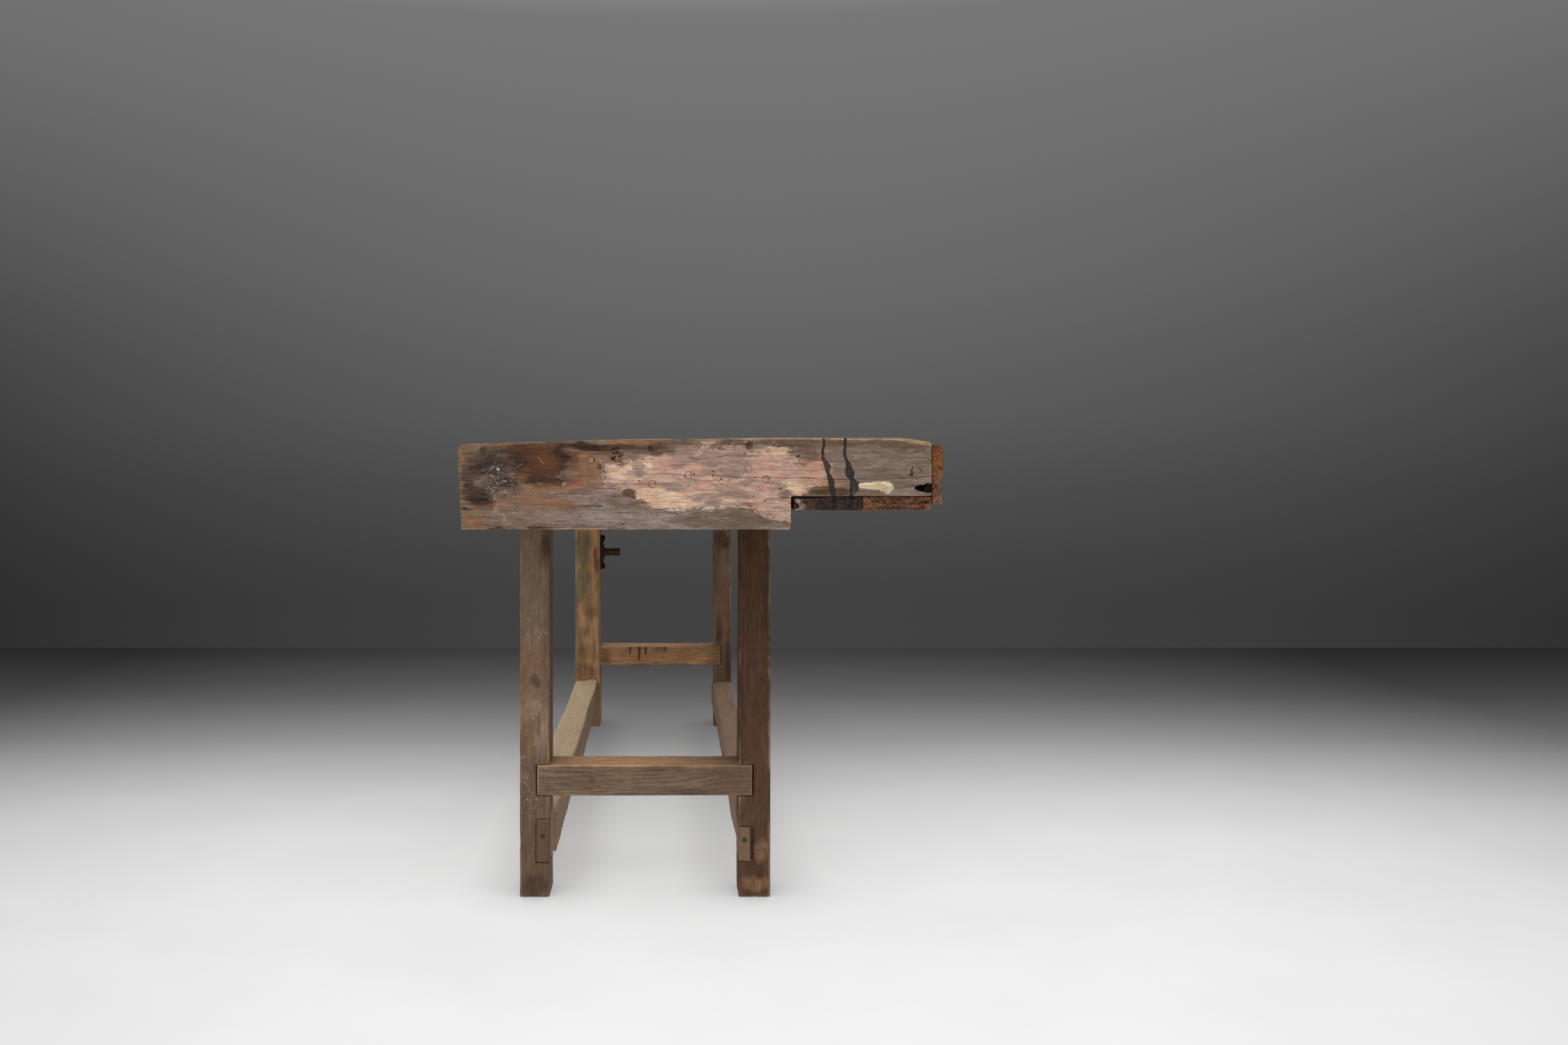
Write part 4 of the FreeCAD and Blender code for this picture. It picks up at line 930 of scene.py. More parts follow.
def make_right_cap():
    low, high = CAP_LOW.x, CAP_HIGH.x
    mesh = skinned(bars("end_cap_right", [(high - 0.2 * MM, low, high)]), CAP_SKIN)
    mesh = refined(mesh, CAP_FACE_X - 2.5 * MM)
    points, normals = weather(mesh, "end_cap_right", 1, wave=0.4 * MM, wear=0.9 * MM,
                              chips=1.4 * MM, carve=carve_cap)
    paint_cap(mesh, points, normals)
    mesh = drilled(mesh, peg_cutter("end_cap_pegs_right", 0))
    mesh = drilled(mesh, nail_hole_cutter())
    material = wood("cap_right_wood", 1, (CAP_FACE_X - 0.19, 0, 0.70), "8c7866", "5d4a3c",
                    "463930", 5 * MM, 0.35, 0.4, CAP_COATS, "a88a6a", 0.75)
    add_piece("cap_right_worn", mesh, material, ["end_cap_right"])


def make_left_cap():
    low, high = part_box("end_cap_left")
    mesh = skinned(bars("end_cap_left", [(low.x + 0.2 * MM, low.x, high.x)]), LEFT_CAP_SKIN)
    weather(mesh, "end_cap_left", 1, shift=60, wave=0.8 * MM, chips=2.2 * MM)
    mesh = drilled(mesh, peg_cutter("end_cap_pegs_left", 0))
    material = wood("cap_left_wood", 1, (low.x + 0.2, 0, 0.69), "8f7760", "5f4936", "43362c",
                    5 * MM, 0.45, 0.55, [GREY_BLOOM, OIL, PINK_SMEARS, WHITE_SMEARS], "a98a68")
    add_piece("cap_left_worn", mesh, material, ["end_cap_left"])


def add_peg(work, low, high, axis, shift):
    """One whittled peg whose crowned end is the one that is farther from the bench's middle."""
    first, second = (i for i in range(3) if i != axis)
    radius = (high - low)[first] / 2
    length = (high - low)[axis]
    middle = (low + high) / 2
    sign = 1 if middle[axis] > 0 else -1
    outer = (high if sign > 0 else low)[axis]
    # Each ring: how far it is in from the outer end, and its share of the radius
    profile = [(length, 0.0), (length, 0.9), (6 * MM, 1.0), (2 * MM, 1.0), (0.4 * MM, 0.995),
               (0.22 * MM, 0.97)]
    profile += [(0.15 * MM, share) for share in (0.84, 0.68, 0.5, 0.33, 0.16, 0.0)]

    def spot(row, angle):
        back, share = row
        whittled = radius * share * (1 - 0.012 * (1 + math.sin(5 * angle + shift)))
        dent = 0.12 * MM * (1 + math.sin(3 * angle + shift * 2) * share)
        if back < 0.3 * MM:
            dent += 0.6 * MM * math.exp(-(math.sin(angle - shift) * share * 7) ** 2)
        place = middle.copy()
        place[first] += whittled * math.cos(angle)
        place[second] += whittled * math.sin(angle)
        place[axis] = outer - sign * (back + dent)
        return place
    add_turned(work, profile, 36, spot)


def make_pegs(name, node, axis, material, paint=None):
    """All the pegs of a node, as one piece."""
    work = bmesh.new()
    for number, (low, high) in enumerate(islands(node)):
        add_peg(work, low, high, axis, 1.7 * number + 0.4)
    mesh = as_mesh(work)
    if paint:
        paint(mesh, points_of(mesh), normals_of(mesh))
    add_piece(name, mesh, material, [node])


def make_all_pegs():
    ring, pith = 2 * MM, (0, 0, 0.9)
    painted = wood("peg_right_wood", 0, pith, "7d6450", "4a3729", "33271f", ring, 0.6, 0.5,
                   CAP_COATS)
    plain = wood("peg_wood", 0, pith, "86694d", "55402f", "3a2c22", ring, 0.6, 0.5)
    pinned = wood("leg_peg_wood", 1, (0.77, 0, 0.74), "80644a", "4f3a2b", "35281f", ring, 0.6, 0.5)
    make_pegs("cap_right_pegs", "end_cap_pegs_right", 0, painted, paint_cap)
    make_pegs("cap_left_pegs", "end_cap_pegs_left", 0, plain)
    make_pegs("leg_pegs", "leg_tenon_pegs", 1, pinned)


# The thick top

def random_scores(count, low, high, shortest, longest, lean):
    """Straight knife and saw scores in a rectangle, in crowds, most of them across the grain."""
    rows = []
    crowds = rng.uniform(low[0] + 200, high[0] - 200, 4)
    for _ in range(count):
        x, y = rng.choice(crowds) + rng.normal(0, 90), rng.uniform(low[1], high[1])
        angle = math.pi / 2 + rng.normal(0, lean)
        half = rng.uniform(shortest, longest) / 2
        run = np.array([math.cos(angle), math.sin(angle)]) * half
        rows.append([(x - run[0], y - run[1]), (x + run[0], y + run[1])])
    return rows


def score_top(mesh, node, points, normals, count):
    """Knife and saw scores in the top's upper face, in millimetres along X and Y."""
    low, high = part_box(node)
    rows = random_scores(count, (low.x / MM + 60, low.y / MM), (high.x / MM - 60, high.y / MM),
                         12, 70, 0.22)
    offset, on = line_fields(points[:, 0] / MM, points[:, 1] / MM, rows, 5.0)
    set_field(mesh, "score_offset", offset.clip(-9, 9))
    set_field(mesh, "score_on", on * (normals[:, 2] > 0.5))
    return 0.4 * MM * (1 - np.abs(offset) / 3).clip(0) * (on > 0.1)


def dents(points, places, radius, deep):
    """Round bruises: how deep each point lies in one."""
    depth = np.zeros(len(points))
    for x, y in places:
        away = np.hypot(points[:, 0] - x, points[:, 1] - y) / radius
        depth = np.maximum(depth, deep * (1 - away ** 2).clip(0))
    return depth


def make_plank(name, node, shift, count):
    low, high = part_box(node)
    mesh = skinned(bars(node, [(0, -CAP_LOW.x, CAP_LOW.x)]), TOP_SKIN)
    bruises = rng.uniform((low.x, low.y), (high.x, high.y), (90, 2))
    cuts = score_top(mesh, node, points_of(mesh), normals_of(mesh), count)

    def carve(points, normals):
        hollow = 1.6 * MM * (0.4 + cloud(points, (0.5, 0.12, 9), 2, shift + 70)).clip(0)
        return (normals[:, 2] > 0.5) * (hollow + cuts + dents(points, bruises, 9 * MM, 1.1 * MM))

    weather(mesh, node, 0, shift=shift, wave=0.7 * MM, wear=2.6 * MM, chips=3.0 * MM, carve=carve)
    if node == "top_front_plank":
        mesh = drilled(mesh, peg_cutter("leg_tenon_pegs", 1))
    coats = [GREY_BLOOM, OIL, PINK_SMEARS, WHITE_SMEARS, RUST_STAIN,
             line("score", "2e231b", 0.42, 1.0, 0.7)]
    material = wood(name + "_wood", 0, (0, 0.02 + shift * 0.001, 0.70), "96775a", "6a4f39",
                    "453629", 6 * MM, 0.5, 0.5, coats, "b3946f")
    add_piece(name, mesh, material, [node])


def make_top():
    make_plank("front_plank_worn", "top_front_plank", 3, 46)
    make_plank("rear_plank_worn", "top_rear_plank", 13, 34)
    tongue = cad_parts["top_loose_tongue"]
    tongue.data.materials.clear()
    tongue.data.materials.append(
        wood("loose_tongue_wood", 0, (0, -0.1, 0.72), "a3835f", "7d6144", "5d4934", 4 * MM))


# The tool tray

# Marks on the tray's right end, by where the photograph shows them: ovals, then runs
INNER_END_HOLE = [(1142.5, 727, 4.6, 3.4), (1140, 722, 2, 3)]
OUTER_END_ROT = [[(1244, 714, 3), (1256, 719, 6), (1272, 723, 6), (1292, 721, 7), (1312, 723, 7),
    (1334, 721, 6)], [(1258, 728, 4), (1290, 730, 4), (1330, 730, 4)]]
TRAY_MARKS = {
    "pale": ([(1145, 719, 6, 3), (1151, 727, 5, 5), (1143, 733, 7, 2.4)],),
    "crumbs": ([(1262, 722, 22, 5), (1300, 722, 34, 5), (1328, 716, 9, 8), (1250, 716, 9, 4)],),
    # Hole: the ovals are painted near-black shade inside the carved hole, and the run along the
    # boards' top edge is a painted shadow line in the gap under the cap
    "hole": (INNER_END_HOLE, [[(1138, 713, 4), (1180, 712.5, 4.4), (1240, 711.5, 4),
        (1290, 710.5, 4.4), (1337, 709.5, 5)]]),
    "drip": ([], [[(1196, 710, 7), (1195, 734, 6)], [(1221, 710, 6), (1220, 734, 5)],
        [(1230, 712, 3), (1230, 728, 3)], [(1212, 712, 4), (1213, 730, 3)]]),
}


def splintered(points, normals, reach):
    """How far the broken and eaten ends of a board are worn away."""
    end = (CAP_FACE_X - np.abs(points[:, 0])).clip(0)
    lumps = cloud(points, (0.02, 0.006, 0.004), 3, 51)
    depth = reach * (0.35 + lumps).clip(0) * np.exp(-end / (3 * MM))
    return depth * (np.abs(normals[:, 0]) > 0.3)


def carve_board(points, normals):
    return splintered(points, normals, 3.5 * MM)


def carve_inner_board(points, normals):
    face = Face(points, normals)
    hole = 11 * MM * bite(blobs(*face.ragged(1.0), INNER_END_HOLE), 0.4, 5)
    return splintered(points, normals, 4.5 * MM) + hole * face.shown


def carve_outer_board(points, normals):
    face = Face(points, normals)
    rot = strokes(*face.ragged(1.4), OUTER_END_ROT)
    pits = 5 * MM * rot * (0.2 + cloud(points, (1, 0.007, 0.004), 3, 60)).clip(0, 1)
    return splintered(points, normals, 5 * MM) + pits * face.shown


def carve_back_board(points, normals):
    """The board's outer face is eaten away low down near its right end."""
    py = spots_in_photo(points, CAP_FACE_X)[1]
    right = ((points[:, 0] - CAP_FACE_X + 0.09) / 0.09).clip(0, 1)
    lost = 3.6 * MM * np.exp(-((py - 699) / 9) ** 2) + 1.6 * MM * np.exp(-((py - 716) / 7) ** 2)
    outer = (normals[:, 1] > 0.5) * right * lost * (1 + 0.4 * cloud(points, 0.012, 2, 8))
    return splintered(points, normals, 3 * MM) + outer


def paint_tray(mesh, points, normals):
    face = Face(points, normals, reach=14 * MM)
    for name, mark in TRAY_MARKS.items():
        set_field(mesh, name, face.marks(1.4, *mark))
    set_field(mesh, "rot", 0.7 * face.marks(1.4, (), OUTER_END_ROT))


def make_board(name, node, cuts, shift, colours, coats, carve=carve_board, paint=None,
               skin=TRAY_SKIN):
    mesh = skinned(bars(node, cuts), skin)
    mesh = refined(mesh, CAP_FACE_X - 3 * MM)
    points, normals = weather(mesh, node, 0, shift=shift, wave=0.3 * MM, wear=0.3 * MM,
                              chips=0.6 * MM, carve=carve)
    if paint:
        paint(mesh, points, normals)
    material = wood(name + "_wood", 0, (0, 0.1 + shift * 0.01, 0.60), *colours, 4 * MM, 0.55,
                    0.55, coats)
    add_piece(name, mesh, material, [node])


def make_tray():
    inner, end = CAP_LOW.x, CAP_HIGH.x
    stepped = [(0, -inner, inner), (inner + 5 * MM, inner - 1 * MM, end),
               (inner + 5 * MM, -end, 1 * MM - inner)]
    full = [(end - 5 * MM, -end, end)]
    near = [film("pale", "b3a191", "7d6d60", 0.5, 1.1, 0.1, 0.8, 0.4),
            film("drip", "15110f", "1f1a17", 0.15, 0.2, 0.08, 0.9, 0.2, 0.35),
            film("rot", "1c120d", "32211a", 0.4, 1.6, 0.1, 0.9, 0.2),
            spatter("crumbs", "bd9f80", 3.2 * MM, 0.7),
            scuffs("crumbs", "c8ad92", 5 * MM, 0.03, 0.6),
            # Painted shade in the hole, and a painted shadow line along the gap under the cap
            film("hole", "0c0908", "120d0b", 0.1, 0.2, 0.1, 1.0, 0.0, 0.9)]
    dark = [scatter_film("3c2f26", "46382d", 0.20, 0.05, 0.42, 0.6, 0.6, 5.0), OIL] + near
    grime = [OIL, RUST_STAIN, scatter_film("6e6257", "7a6d60", 0.2, 0.06, 0.55, 0.68, 0.6, 15.0)]
    make_board("tray_inner_worn", "tray_board_inner", stepped, 21,
               ("6b5240", "45342a", "2b221c"), dark, carve_inner_board, paint_tray)
    make_board("tray_middle_worn", "tray_board_middle", full, 24,
               ("3d2f25", "2a201a", "1b1512"), dark, carve_board, paint_tray)
    make_board("tray_outer_worn", "tray_board_outer", full, 27,
               ("9c6443", "6b412b", "43291e"), grime + near, carve_outer_board, paint_tray,
               OUTER_BOARD_SKIN)
    make_board("tray_back_worn", "tray_back_board", [(0.5, -end, end)], 30,
               ("9a6238", "6b3f25", "4a2c1c"), grime, carve_back_board, skin=BACK_BOARD_SKIN)


# Legs and stretchers

# Fields of each leg and stretcher: its name, and its ovals by where the photograph shows them
LEG_FIELDS = {
    "leg_front_right": {
        "spots": [(766, 905, 20, 18), (752, 890, 8, 8), (755, 1105, 10, 50), (770, 1150, 18, 22)],
        "smear": [(764, 1012, 15, 22), (776, 1062, 11, 26), (770, 912, 18, 14),
                  (764, 1165, 18, 20), (752, 890, 8, 7), (756, 1100, 8, 30)],
        "olive": [(767, 850, 26, 80), (762, 800, 18, 60)],
        "warm": [(752, 960, 10, 30), (772, 950, 14, 16), (757, 1040, 10, 60)],
        "haze": [(765, 1012, 11, 14), (775, 1060, 9, 22), (755, 1030, 6, 10), (782, 1040, 5, 30)],
        "grime": [(766, 1190, 26, 110), (784, 790, 8, 26), (766, 1110, 20, 24)],
        "dark": [(768, 977, 7, 7), (784, 780, 7, 18), (768, 1270, 22, 14), (763.7, 940, 2.4, 1.6)],
    },
    "leg_rear_right": {
        "spots": [(1060, 1052, 1, 1)],
        "haze": [(1070, 1120, 6, 24)],
        "tan": [(1094, 1222, 12, 16), (1068, 1208, 8, 18), (1084, 1270, 20, 10)],
        "dark": [(1101.8, 791.5, 4, 6), (1079, 934, 6, 3), (1104, 1025, 4, 3),
                 (1100, 860, 5, 60), (1068, 1234, 12, 5), (1064, 1000, 3, 90),
                 (1079.3, 1212, 2.6, 26)],
    },
    "leg_front_left": {
        "spots": [(843.8, 850, 2.5, 3)],
        "green": [(836, 790, 11, 28), (836, 832, 10, 20), (829, 852, 6, 14), (840, 766, 8, 6)],
        "rust": [(854, 805, 4.2, 22)],
        "warm": [(859.5, 850, 2.2, 90), (830, 780, 4, 14), (846, 775, 8, 7)],
        "grime": [(840, 905, 7, 7), (838, 938, 9, 12), (853, 932, 4, 14), (842, 964, 16, 12),
                  (850, 880, 6, 8)],
    },
    "leg_rear_left": {
        "haze": [(1040, 815, 8, 20), (1036, 850, 7, 30)],
        "dark": [(1030, 905, 5, 22), (1044, 950, 6, 40), (1036, 775, 14, 12)],
        "warm": [(1036, 870, 9, 40)],
    },
}
# The left legs' colours are paler than the right legs', standing in for light that the lamps don't
# bring to the far end: painted light
LEG_COLOURS = {
    "leg_front_right": ("8b745f", "67523f", "48382b"),
    "leg_rear_right": ("60432f", "45301f", "2f2118"),
    "leg_front_left": ("cea377", "a17b55", "6e573f"),
    "leg_rear_left": ("a08068", "765a48", "4c3c31"),
}
LEG_COATS = {
    "warm": film("warm", "7d5a40", "6a4a35", 0.6, 0.5, 0.25, 0.5, 0.5),
    "smear": scuffs("smear", "b3a596", 10 * MM, 0.035, 0.6),
    "dark": film("dark", "35271e", "42312a", 0.5, 0.4, 0.22, 0.75, 0.4),
    "grime": film("grime", "4a382b", "584435", 0.6, 0.5, 0.3, 0.55, 0.4),
    "olive": film("olive", "82735e", "766650", 0.6, 0.5, 0.3, 0.55, 0.3),
    "tan": film("tan", "8f6f53", "7a5a42", 0.6, 0.6, 0.2, 0.7, 0.4),
    "green": film("green", "5b6c4f", "525f47", 0.6, 0.5, 0.2, 0.7, 0.4),
    "rust": film("rust", "5a2f1b", "6b3a20", 0.4, 0.3, 0.16, 0.85, 0.3),
    "haze": film("haze", "95806d", "85705e", 0.7, 0.7, 0.2, 0.6, 0.6),
}


def carve_rear_leg(points, normals):
    """The leg leans a little, and is broken round the rail's tongue."""
    face = Face(points, normals, RIGHT_FACE_X)
    near = face.ragged(1.5)
    lean = 4.5 * MM * (points[:, 2] / 0.68 - 0.25).clip(0) * (normals[:, 1] < -0.5)
    broken = 4 * MM * bite(blobs(*near, [(1093, 1228, 10, 11)]), 0.42)
    split = 7 * MM * bite(blobs(*near, [(1079.5, 1212, 2.4, 26)]))
    return lean + (broken + split) * face.shown


def make_legs():
    for number, (node, fields) in enumerate(LEG_FIELDS.items()):
        plane_x = RIGHT_FACE_X if node.endswith("right") else LEFT_FACE_X
        rear_right = node == "leg_rear_right"
        mesh = skinned(node_copy(node), LEG_SKIN)
        points, normals = weather(mesh, node, 2, shift=80 + 7 * number, wave=0.4 * MM,
                                  wear=0.3 * MM, chips=0.9 * MM, grit=0.1 * MM,
                                  carve=carve_rear_leg if rear_right else None)
        face = Face(points, normals, plane_x, 20 * MM, number, upright=True)
        coats = [scatter_film("4a3a2e", "5a4738", 0.25, 0.05, 0.45, 0.62, 0.6, 5.0 + number)]
        for name, ovals in fields.items():
            set_field(mesh, name, face.marks(3.0, ovals))
            if name in LEG_COATS:
                coats.append(LEG_COATS[name])
        if rear_right:
            coats.append(sawn(4.2 * MM, 0.2, 0.08))
        coats.append(spatter("spots", "cbc9bb", 5.0 * MM, 0.5, 0.3, 0.64))
        middle = middle_of(node)
        material = wood(node + "_wood", 2, (middle.x - 0.05, middle.y + 0.06, 0),
                        *LEG_COLOURS[node], 4.5 * MM, 0.35, 0.35, coats, "a08468", 0.5, 0.25)
        add_piece(node + "_worn", mesh, material, [node])


CROSS_GRIME = {
    "cross_stretcher_right": [(1060, 1120, 46, 30), (1010, 1138, 60, 8), (850, 1120, 5, 6)],
    "cross_stretcher_left": [(868, 940, 9, 20), (1030, 940, 16, 20), (948, 932, 12, 6)],
}
CROSS_TICKS = [[(904, 927, 3.4), (904, 937, 2.6)], [(917.3, 927, 3.6), (917.3, 946, 2.8)],
               [(926.4, 927, 3.4), (926.4, 938, 3)], [(954, 929, 2), (954, 934, 2)]]


def make_cross_stretchers():
    for node, plane_x, colours in (
        ("cross_stretcher_right", RIGHT_FACE_X, ("8a735e", "614e3f", "463830")),
        # The left stretcher's paler colours stand in for light that the lamps don't bring to the far
        # end: painted light
        ("cross_stretcher_left", LEFT_FACE_X, ("cf9f74", "9d7551", "6d5037")),
    ):
        mesh = skinned(node_copy(node), CROSS_SKIN)
        points, normals = weather(mesh, node, 1, shift=120 + plane_x, wave=0.7 * MM,
                                  wear=0.3 * MM, chips=0.9 * MM)
        face = Face(points, normals, plane_x)
        # Painted light: a pale film on the upward faces, strongest mid-span, stands in for light
        # falling on the stretcher's top
        top_light_middle = (1 - np.abs(face.x - 880) / 260).clip(0, 1)
        set_field(mesh, "painted_top_light", normals[:, 2].clip(0, 1) * top_light_middle)
        set_field(mesh, "grime", face.marks(3, CROSS_GRIME[node]))
        # The last film here is the painted top light on the upward faces
        coats = [scatter_film("8b6a4e", "7a5c43", 0.2, 0.05, 0.5, 0.7, 0.5, 2.0 + plane_x),
                 film("grime", "42342a", "52423a", 0.5, 0.5, 0.3, 0.6, 0.4),
                 film("painted_top_light", "dcb08a", "c89c75", 0.05, 0.0, 0.4, 0.85, 0.3)]
        if node.endswith("left"):
            set_field(mesh, "ticks", face.marks(0.5, (), CROSS_TICKS))
            coats.append(film("ticks", "211a16", "2b2420", 0.2, 0.2, 0.08, 0.9, 0.3))
        middle = middle_of(node)
        material = wood(node + "_wood", 1, (middle.x - 0.03, 0, middle.z - 0.05), *colours,
                        5 * MM, 0.6, 0.35, coats, "a1835f", 0.5, 0.3)
        add_piece(node + "_worn", mesh, material, [node])


def make_long_stretchers():
    # Each stretcher: its node, the colour of its painted top light, the colour of its tongues, and
    # its wood's colours
    for number, (node, painted_top_light, tongue, colours) in enumerate((
        ("long_stretcher_front", "dbc3a2", "503f32", ("a0856a", "82684f", "66503c")),
        ("long_stretcher_rear", "ab9079", "6b543f", ("a08069", "785b47", "544034")),
    )):
        low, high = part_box(node)
        leg_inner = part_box("leg_front_right")[0].x
        end = high.x - 4 * MM
        mesh = skinned(bars(node, [(0, -leg_inner, leg_inner), (end, leg_inner - 4 * MM, high.x),
                                   (-end, low.x, 4 * MM - leg_inner)]), LONG_SKIN)
        shift = 140 + 9 * number

        def carve(points, normals):
            wander = 5 * MM * (0.25 + cloud(points, (0.34, 9, 9), 2, shift + 4)).clip(0)
            span = (leg_inner - np.abs(points[:, 0])).clip(0, 0.05) / 0.05
            return wander * span * (np.abs(normals[:, 1]) > 0.5)

        points, normals = weather(mesh, node, 0, shift=shift, wave=0.4 * MM, wear=0.3 * MM,
                                  chips=0.8 * MM, grit=0.06 * MM, carve=carve)
        # Painted light: a pale film on the upward faces stands in for light falling on the tops, and
        # on the rear stretcher it grows towards the near end
        top_light_nearer = (points[:, 0] / 0.7 * 0.5 + 0.8).clip(0.3, 1.1)
        set_field(mesh, "painted_top_light", normals[:, 2].clip(0, 1) * (top_light_nearer if number else 1.0))
        past_leg = (np.abs(points[:, 0]) - leg_inner) / (high.x - leg_inner)
        set_field(mesh, "tongue", bite(past_leg, 0.5))
        coats = [scatter_film("8a7258", "9c8468", 0.35, 0.06, 0.45, 0.65, 0.6, 7.0 + number),
                 GREY_BLOOM, film("painted_top_light", painted_top_light, painted_top_light, 0.05, 0.0, 0.4, 0.72, 0.2),
                 film("tongue", tongue, tongue, 0.2, 0.3, 0.2, 0.92, 0.2)]
        material = wood(node + "_wood", 0, (0, (low.y + high.y) / 2 - 0.05, 0.02), *colours,
                        6 * MM, 0.25, 0.2, coats, "b89a74", 0.2, 0.4)
        add_piece(node + "_worn", mesh, material, [node])


# Iron

def iron(name, light, dark, rust, rust_low=0.5, rust_high=0.62, metal=0.65):
    """Old iron: a dark skin with rust in patches, and fine pits."""
    s = Shader(name)
    patches = s.lumps(s.place, 90.0, 8.0, 0.68)
    grains = s.lumps(s.place, 900.0, 4.0)
    pits = s.add("TexVoronoi", inputs={"Vector": s.place, "Scale": 700.0})
    share = s.span(patches, rust_low, rust_high)
    s.colour = s.mix(s.span(grains, 0.35, 0.65), dark, light)
    s.tint(share, rust)
    s.tint(s.times(s.span(pits, 0.25, 0.05), 0.6), dark)
    s.rough = s.times_plus(share, 0.3, 0.5)
    s.height = s.times_plus(pits, 0.5, s.math("ADD", grains, patches))
    return s.finish(0.35 * MM, metal=metal, level=0.5)


def make_nails(name, node, material):
    """The nails as forged: softened edges, and heads that are no two alike."""
    mesh = applied(node_copy(node), "BEVEL", width=0.7 * MM, segments=2)
    mesh = applied(mesh, "SUBSURF", levels=1, subdivision_type="SIMPLE")
    points = points_of(mesh)
    push_in(mesh, node, points, normals_of(mesh), 0.03 * MM * (1 + cloud(points, 0.004, 2, 3)))
    add_piece(name, mesh, material, [node])


def make_bright_nail(material):
    """One bright nail head in the cap's face, where the photograph shows it."""
    middle = spot_on_cap(714.7, 674.4)
    radius = 3.6 * CAP_PX
    last = 7

    def spot(row, angle):
        lift = row * math.pi / 2 / last
        dent = 0.12 * MM * math.sin(3 * angle + row)
        size = (radius + dent) * (math.cos(lift) if row < last else 0.0)
        return (middle.x - 1.7 * MM + 1.3 * MM * math.sin(lift) - abs(dent),
                middle.y + size * math.cos(angle), middle.z + size * math.sin(angle))
    work = bmesh.new()
    work.faces.new(add_turned(work, range(last + 1), 28, spot)[0])
    add_piece("cap_nail_head", as_mesh(work), material, [])


THREAD_PITCH = 5 * MM
THREAD_DEPTH = 2.2 * MM
SCREW_RIM = 4 * MM


def make_vise_screw(material):
    """The stub of the vise's screw, with its square thread and a plain rim at each end."""
    low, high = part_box("vise_screw")
    middle = (low + high) / 2
    radius = (high.x - low.x) / 2
    length = high.y - low.y
    rows = int(length / (0.5 * MM))

    def spot(row, angle):
        along = length * row / rows
        share = (along / THREAD_PITCH - angle / (2 * math.pi)) % 1
        wall = min(max((abs(share - 0.5) - 0.22) / 0.06, 0), 1)
        near_end = min(along, length - along)
        plain = min(max((SCREW_RIM - near_end) / (1 * MM), 0), 1)
        cut = THREAD_DEPTH * (1 - wall) * (1 - plain)
        size = radius - 0.1 * MM - cut - max(1.2 * MM - near_end, 0)
        return (middle.x + size * math.cos(angle), low.y + along,
                middle.z + size * math.sin(angle))
    work = bmesh.new()
    rings = add_turned(work, range(rows + 1), 64, spot)
    work.faces.new(rings[0])
    work.faces.new(rings[-1])
    mesh = as_mesh(work)
    points, normals = points_of(mesh), normals_of(mesh)
    depth = 0.12 * MM * (1 + cloud(points, 0.003, 2, 5)) * (np.abs(normals[:, 1]) < 0.9)
    push_in(mesh, "vise_screw", points, normals, depth)
    add_piece("vise_screw_thread", mesh, material, ["vise_screw"], "screw")


def make_vise_plate(material):
    mesh = skinned(node_copy("vise_nut_plate"), PLATE_SKIN)
    points, normals = points_of(mesh), normals_of(mesh)
    low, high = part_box("vise_screw")
    middle = (low + high) / 2
    away = np.hypot(points[:, 0] - middle.x, points[:, 2] - middle.z)
    outside_bore = away > (high.x - low.x) / 2 + 1 * MM
    depth = 0.25 * MM * (1 + cloud(points, 0.009, 4, 2)) * outside_bore
    push_in(mesh, "vise_nut_plate", points, normals, depth)
    add_piece("vise_plate_forged", mesh, material, ["vise_nut_plate"])


def add_plate_screw(work, low, high, slot_angle):
    """One of the nut plate's screws, with a domed head that has a worn slot."""
    middle = (low + high) / 2
    radius = (high[0] - low[0]) / 2
    top = high[1]
    length = top - low[1]
    head = 5.6 * MM
    # Each ring: how far it is below the top of the dome, and its share of the radius
    profile = [(length, 0.0), (length, 0.2), (head + 8 * MM, 0.45), (head, 0.46),
               (head - 0.1 * MM, 0.97), (head - 0.9 * MM, 1.0)]
    profile += [(head * (1 - math.sin(t * math.pi / 18)) * 0.84, math.cos(t * math.pi / 20))
                for t in range(1, 10)]
    profile += [(0.0, 0.0)]

    def spot(row, angle):
        back, share = row
        size = radius * share
        in_slot = abs(size * math.sin(angle - slot_angle)) < 1.0 * MM and back < head * 0.6
        return (middle[0] + size * math.cos(angle), top - back - (1.6 * MM if in_slot else 0),
                middle[2] + size * math.sin(angle))
    add_turned(work, profile, 40, spot)


def make_plate_screws(material):
    work = bmesh.new()
    for number, (low, high) in enumerate(islands("vise_nut_screws")):
        add_plate_screw(work, low, high, 0.7 + 1.9 * number)
    add_piece("vise_plate_screws", as_mesh(work), material, ["vise_nut_screws"])


def make_iron():
    nail_skin = iron("nail_iron_skin", "4b423b", "1f1a17", "5a3826")
    vise_skin = iron("vise_iron_skin", "3a2c22", "17110e", "4d2f1c", 0.44, 0.6)
    screw_skin = iron("screw_iron_skin", "5a4733", "2b2118", "6a4a2c", 0.42, 0.62)
    bright = iron("bright_nail_skin", "c3bcb4", "8d867e", "9c8a7a", 0.6, 0.75, 0.8)
    make_nails("floor_nails_forged", "tray_floor_nails", nail_skin)
    make_nails("back_nails_forged", "tray_back_nails", nail_skin)
    make_nails("stretcher_nails_forged", "stretcher_nails", nail_skin)
    make_bright_nail(bright)
    make_vise_plate(vise_skin)
    make_plate_screws(vise_skin)
    make_vise_screw(screw_skin)


make_right_cap()
make_left_cap()
make_all_pegs()
make_top()
make_tray()
make_legs()
make_cross_stretchers()
make_long_stretchers()
make_iron()


# The stage

FLOOR_REACH = 9
FLOOR_FAR_X = -2.36

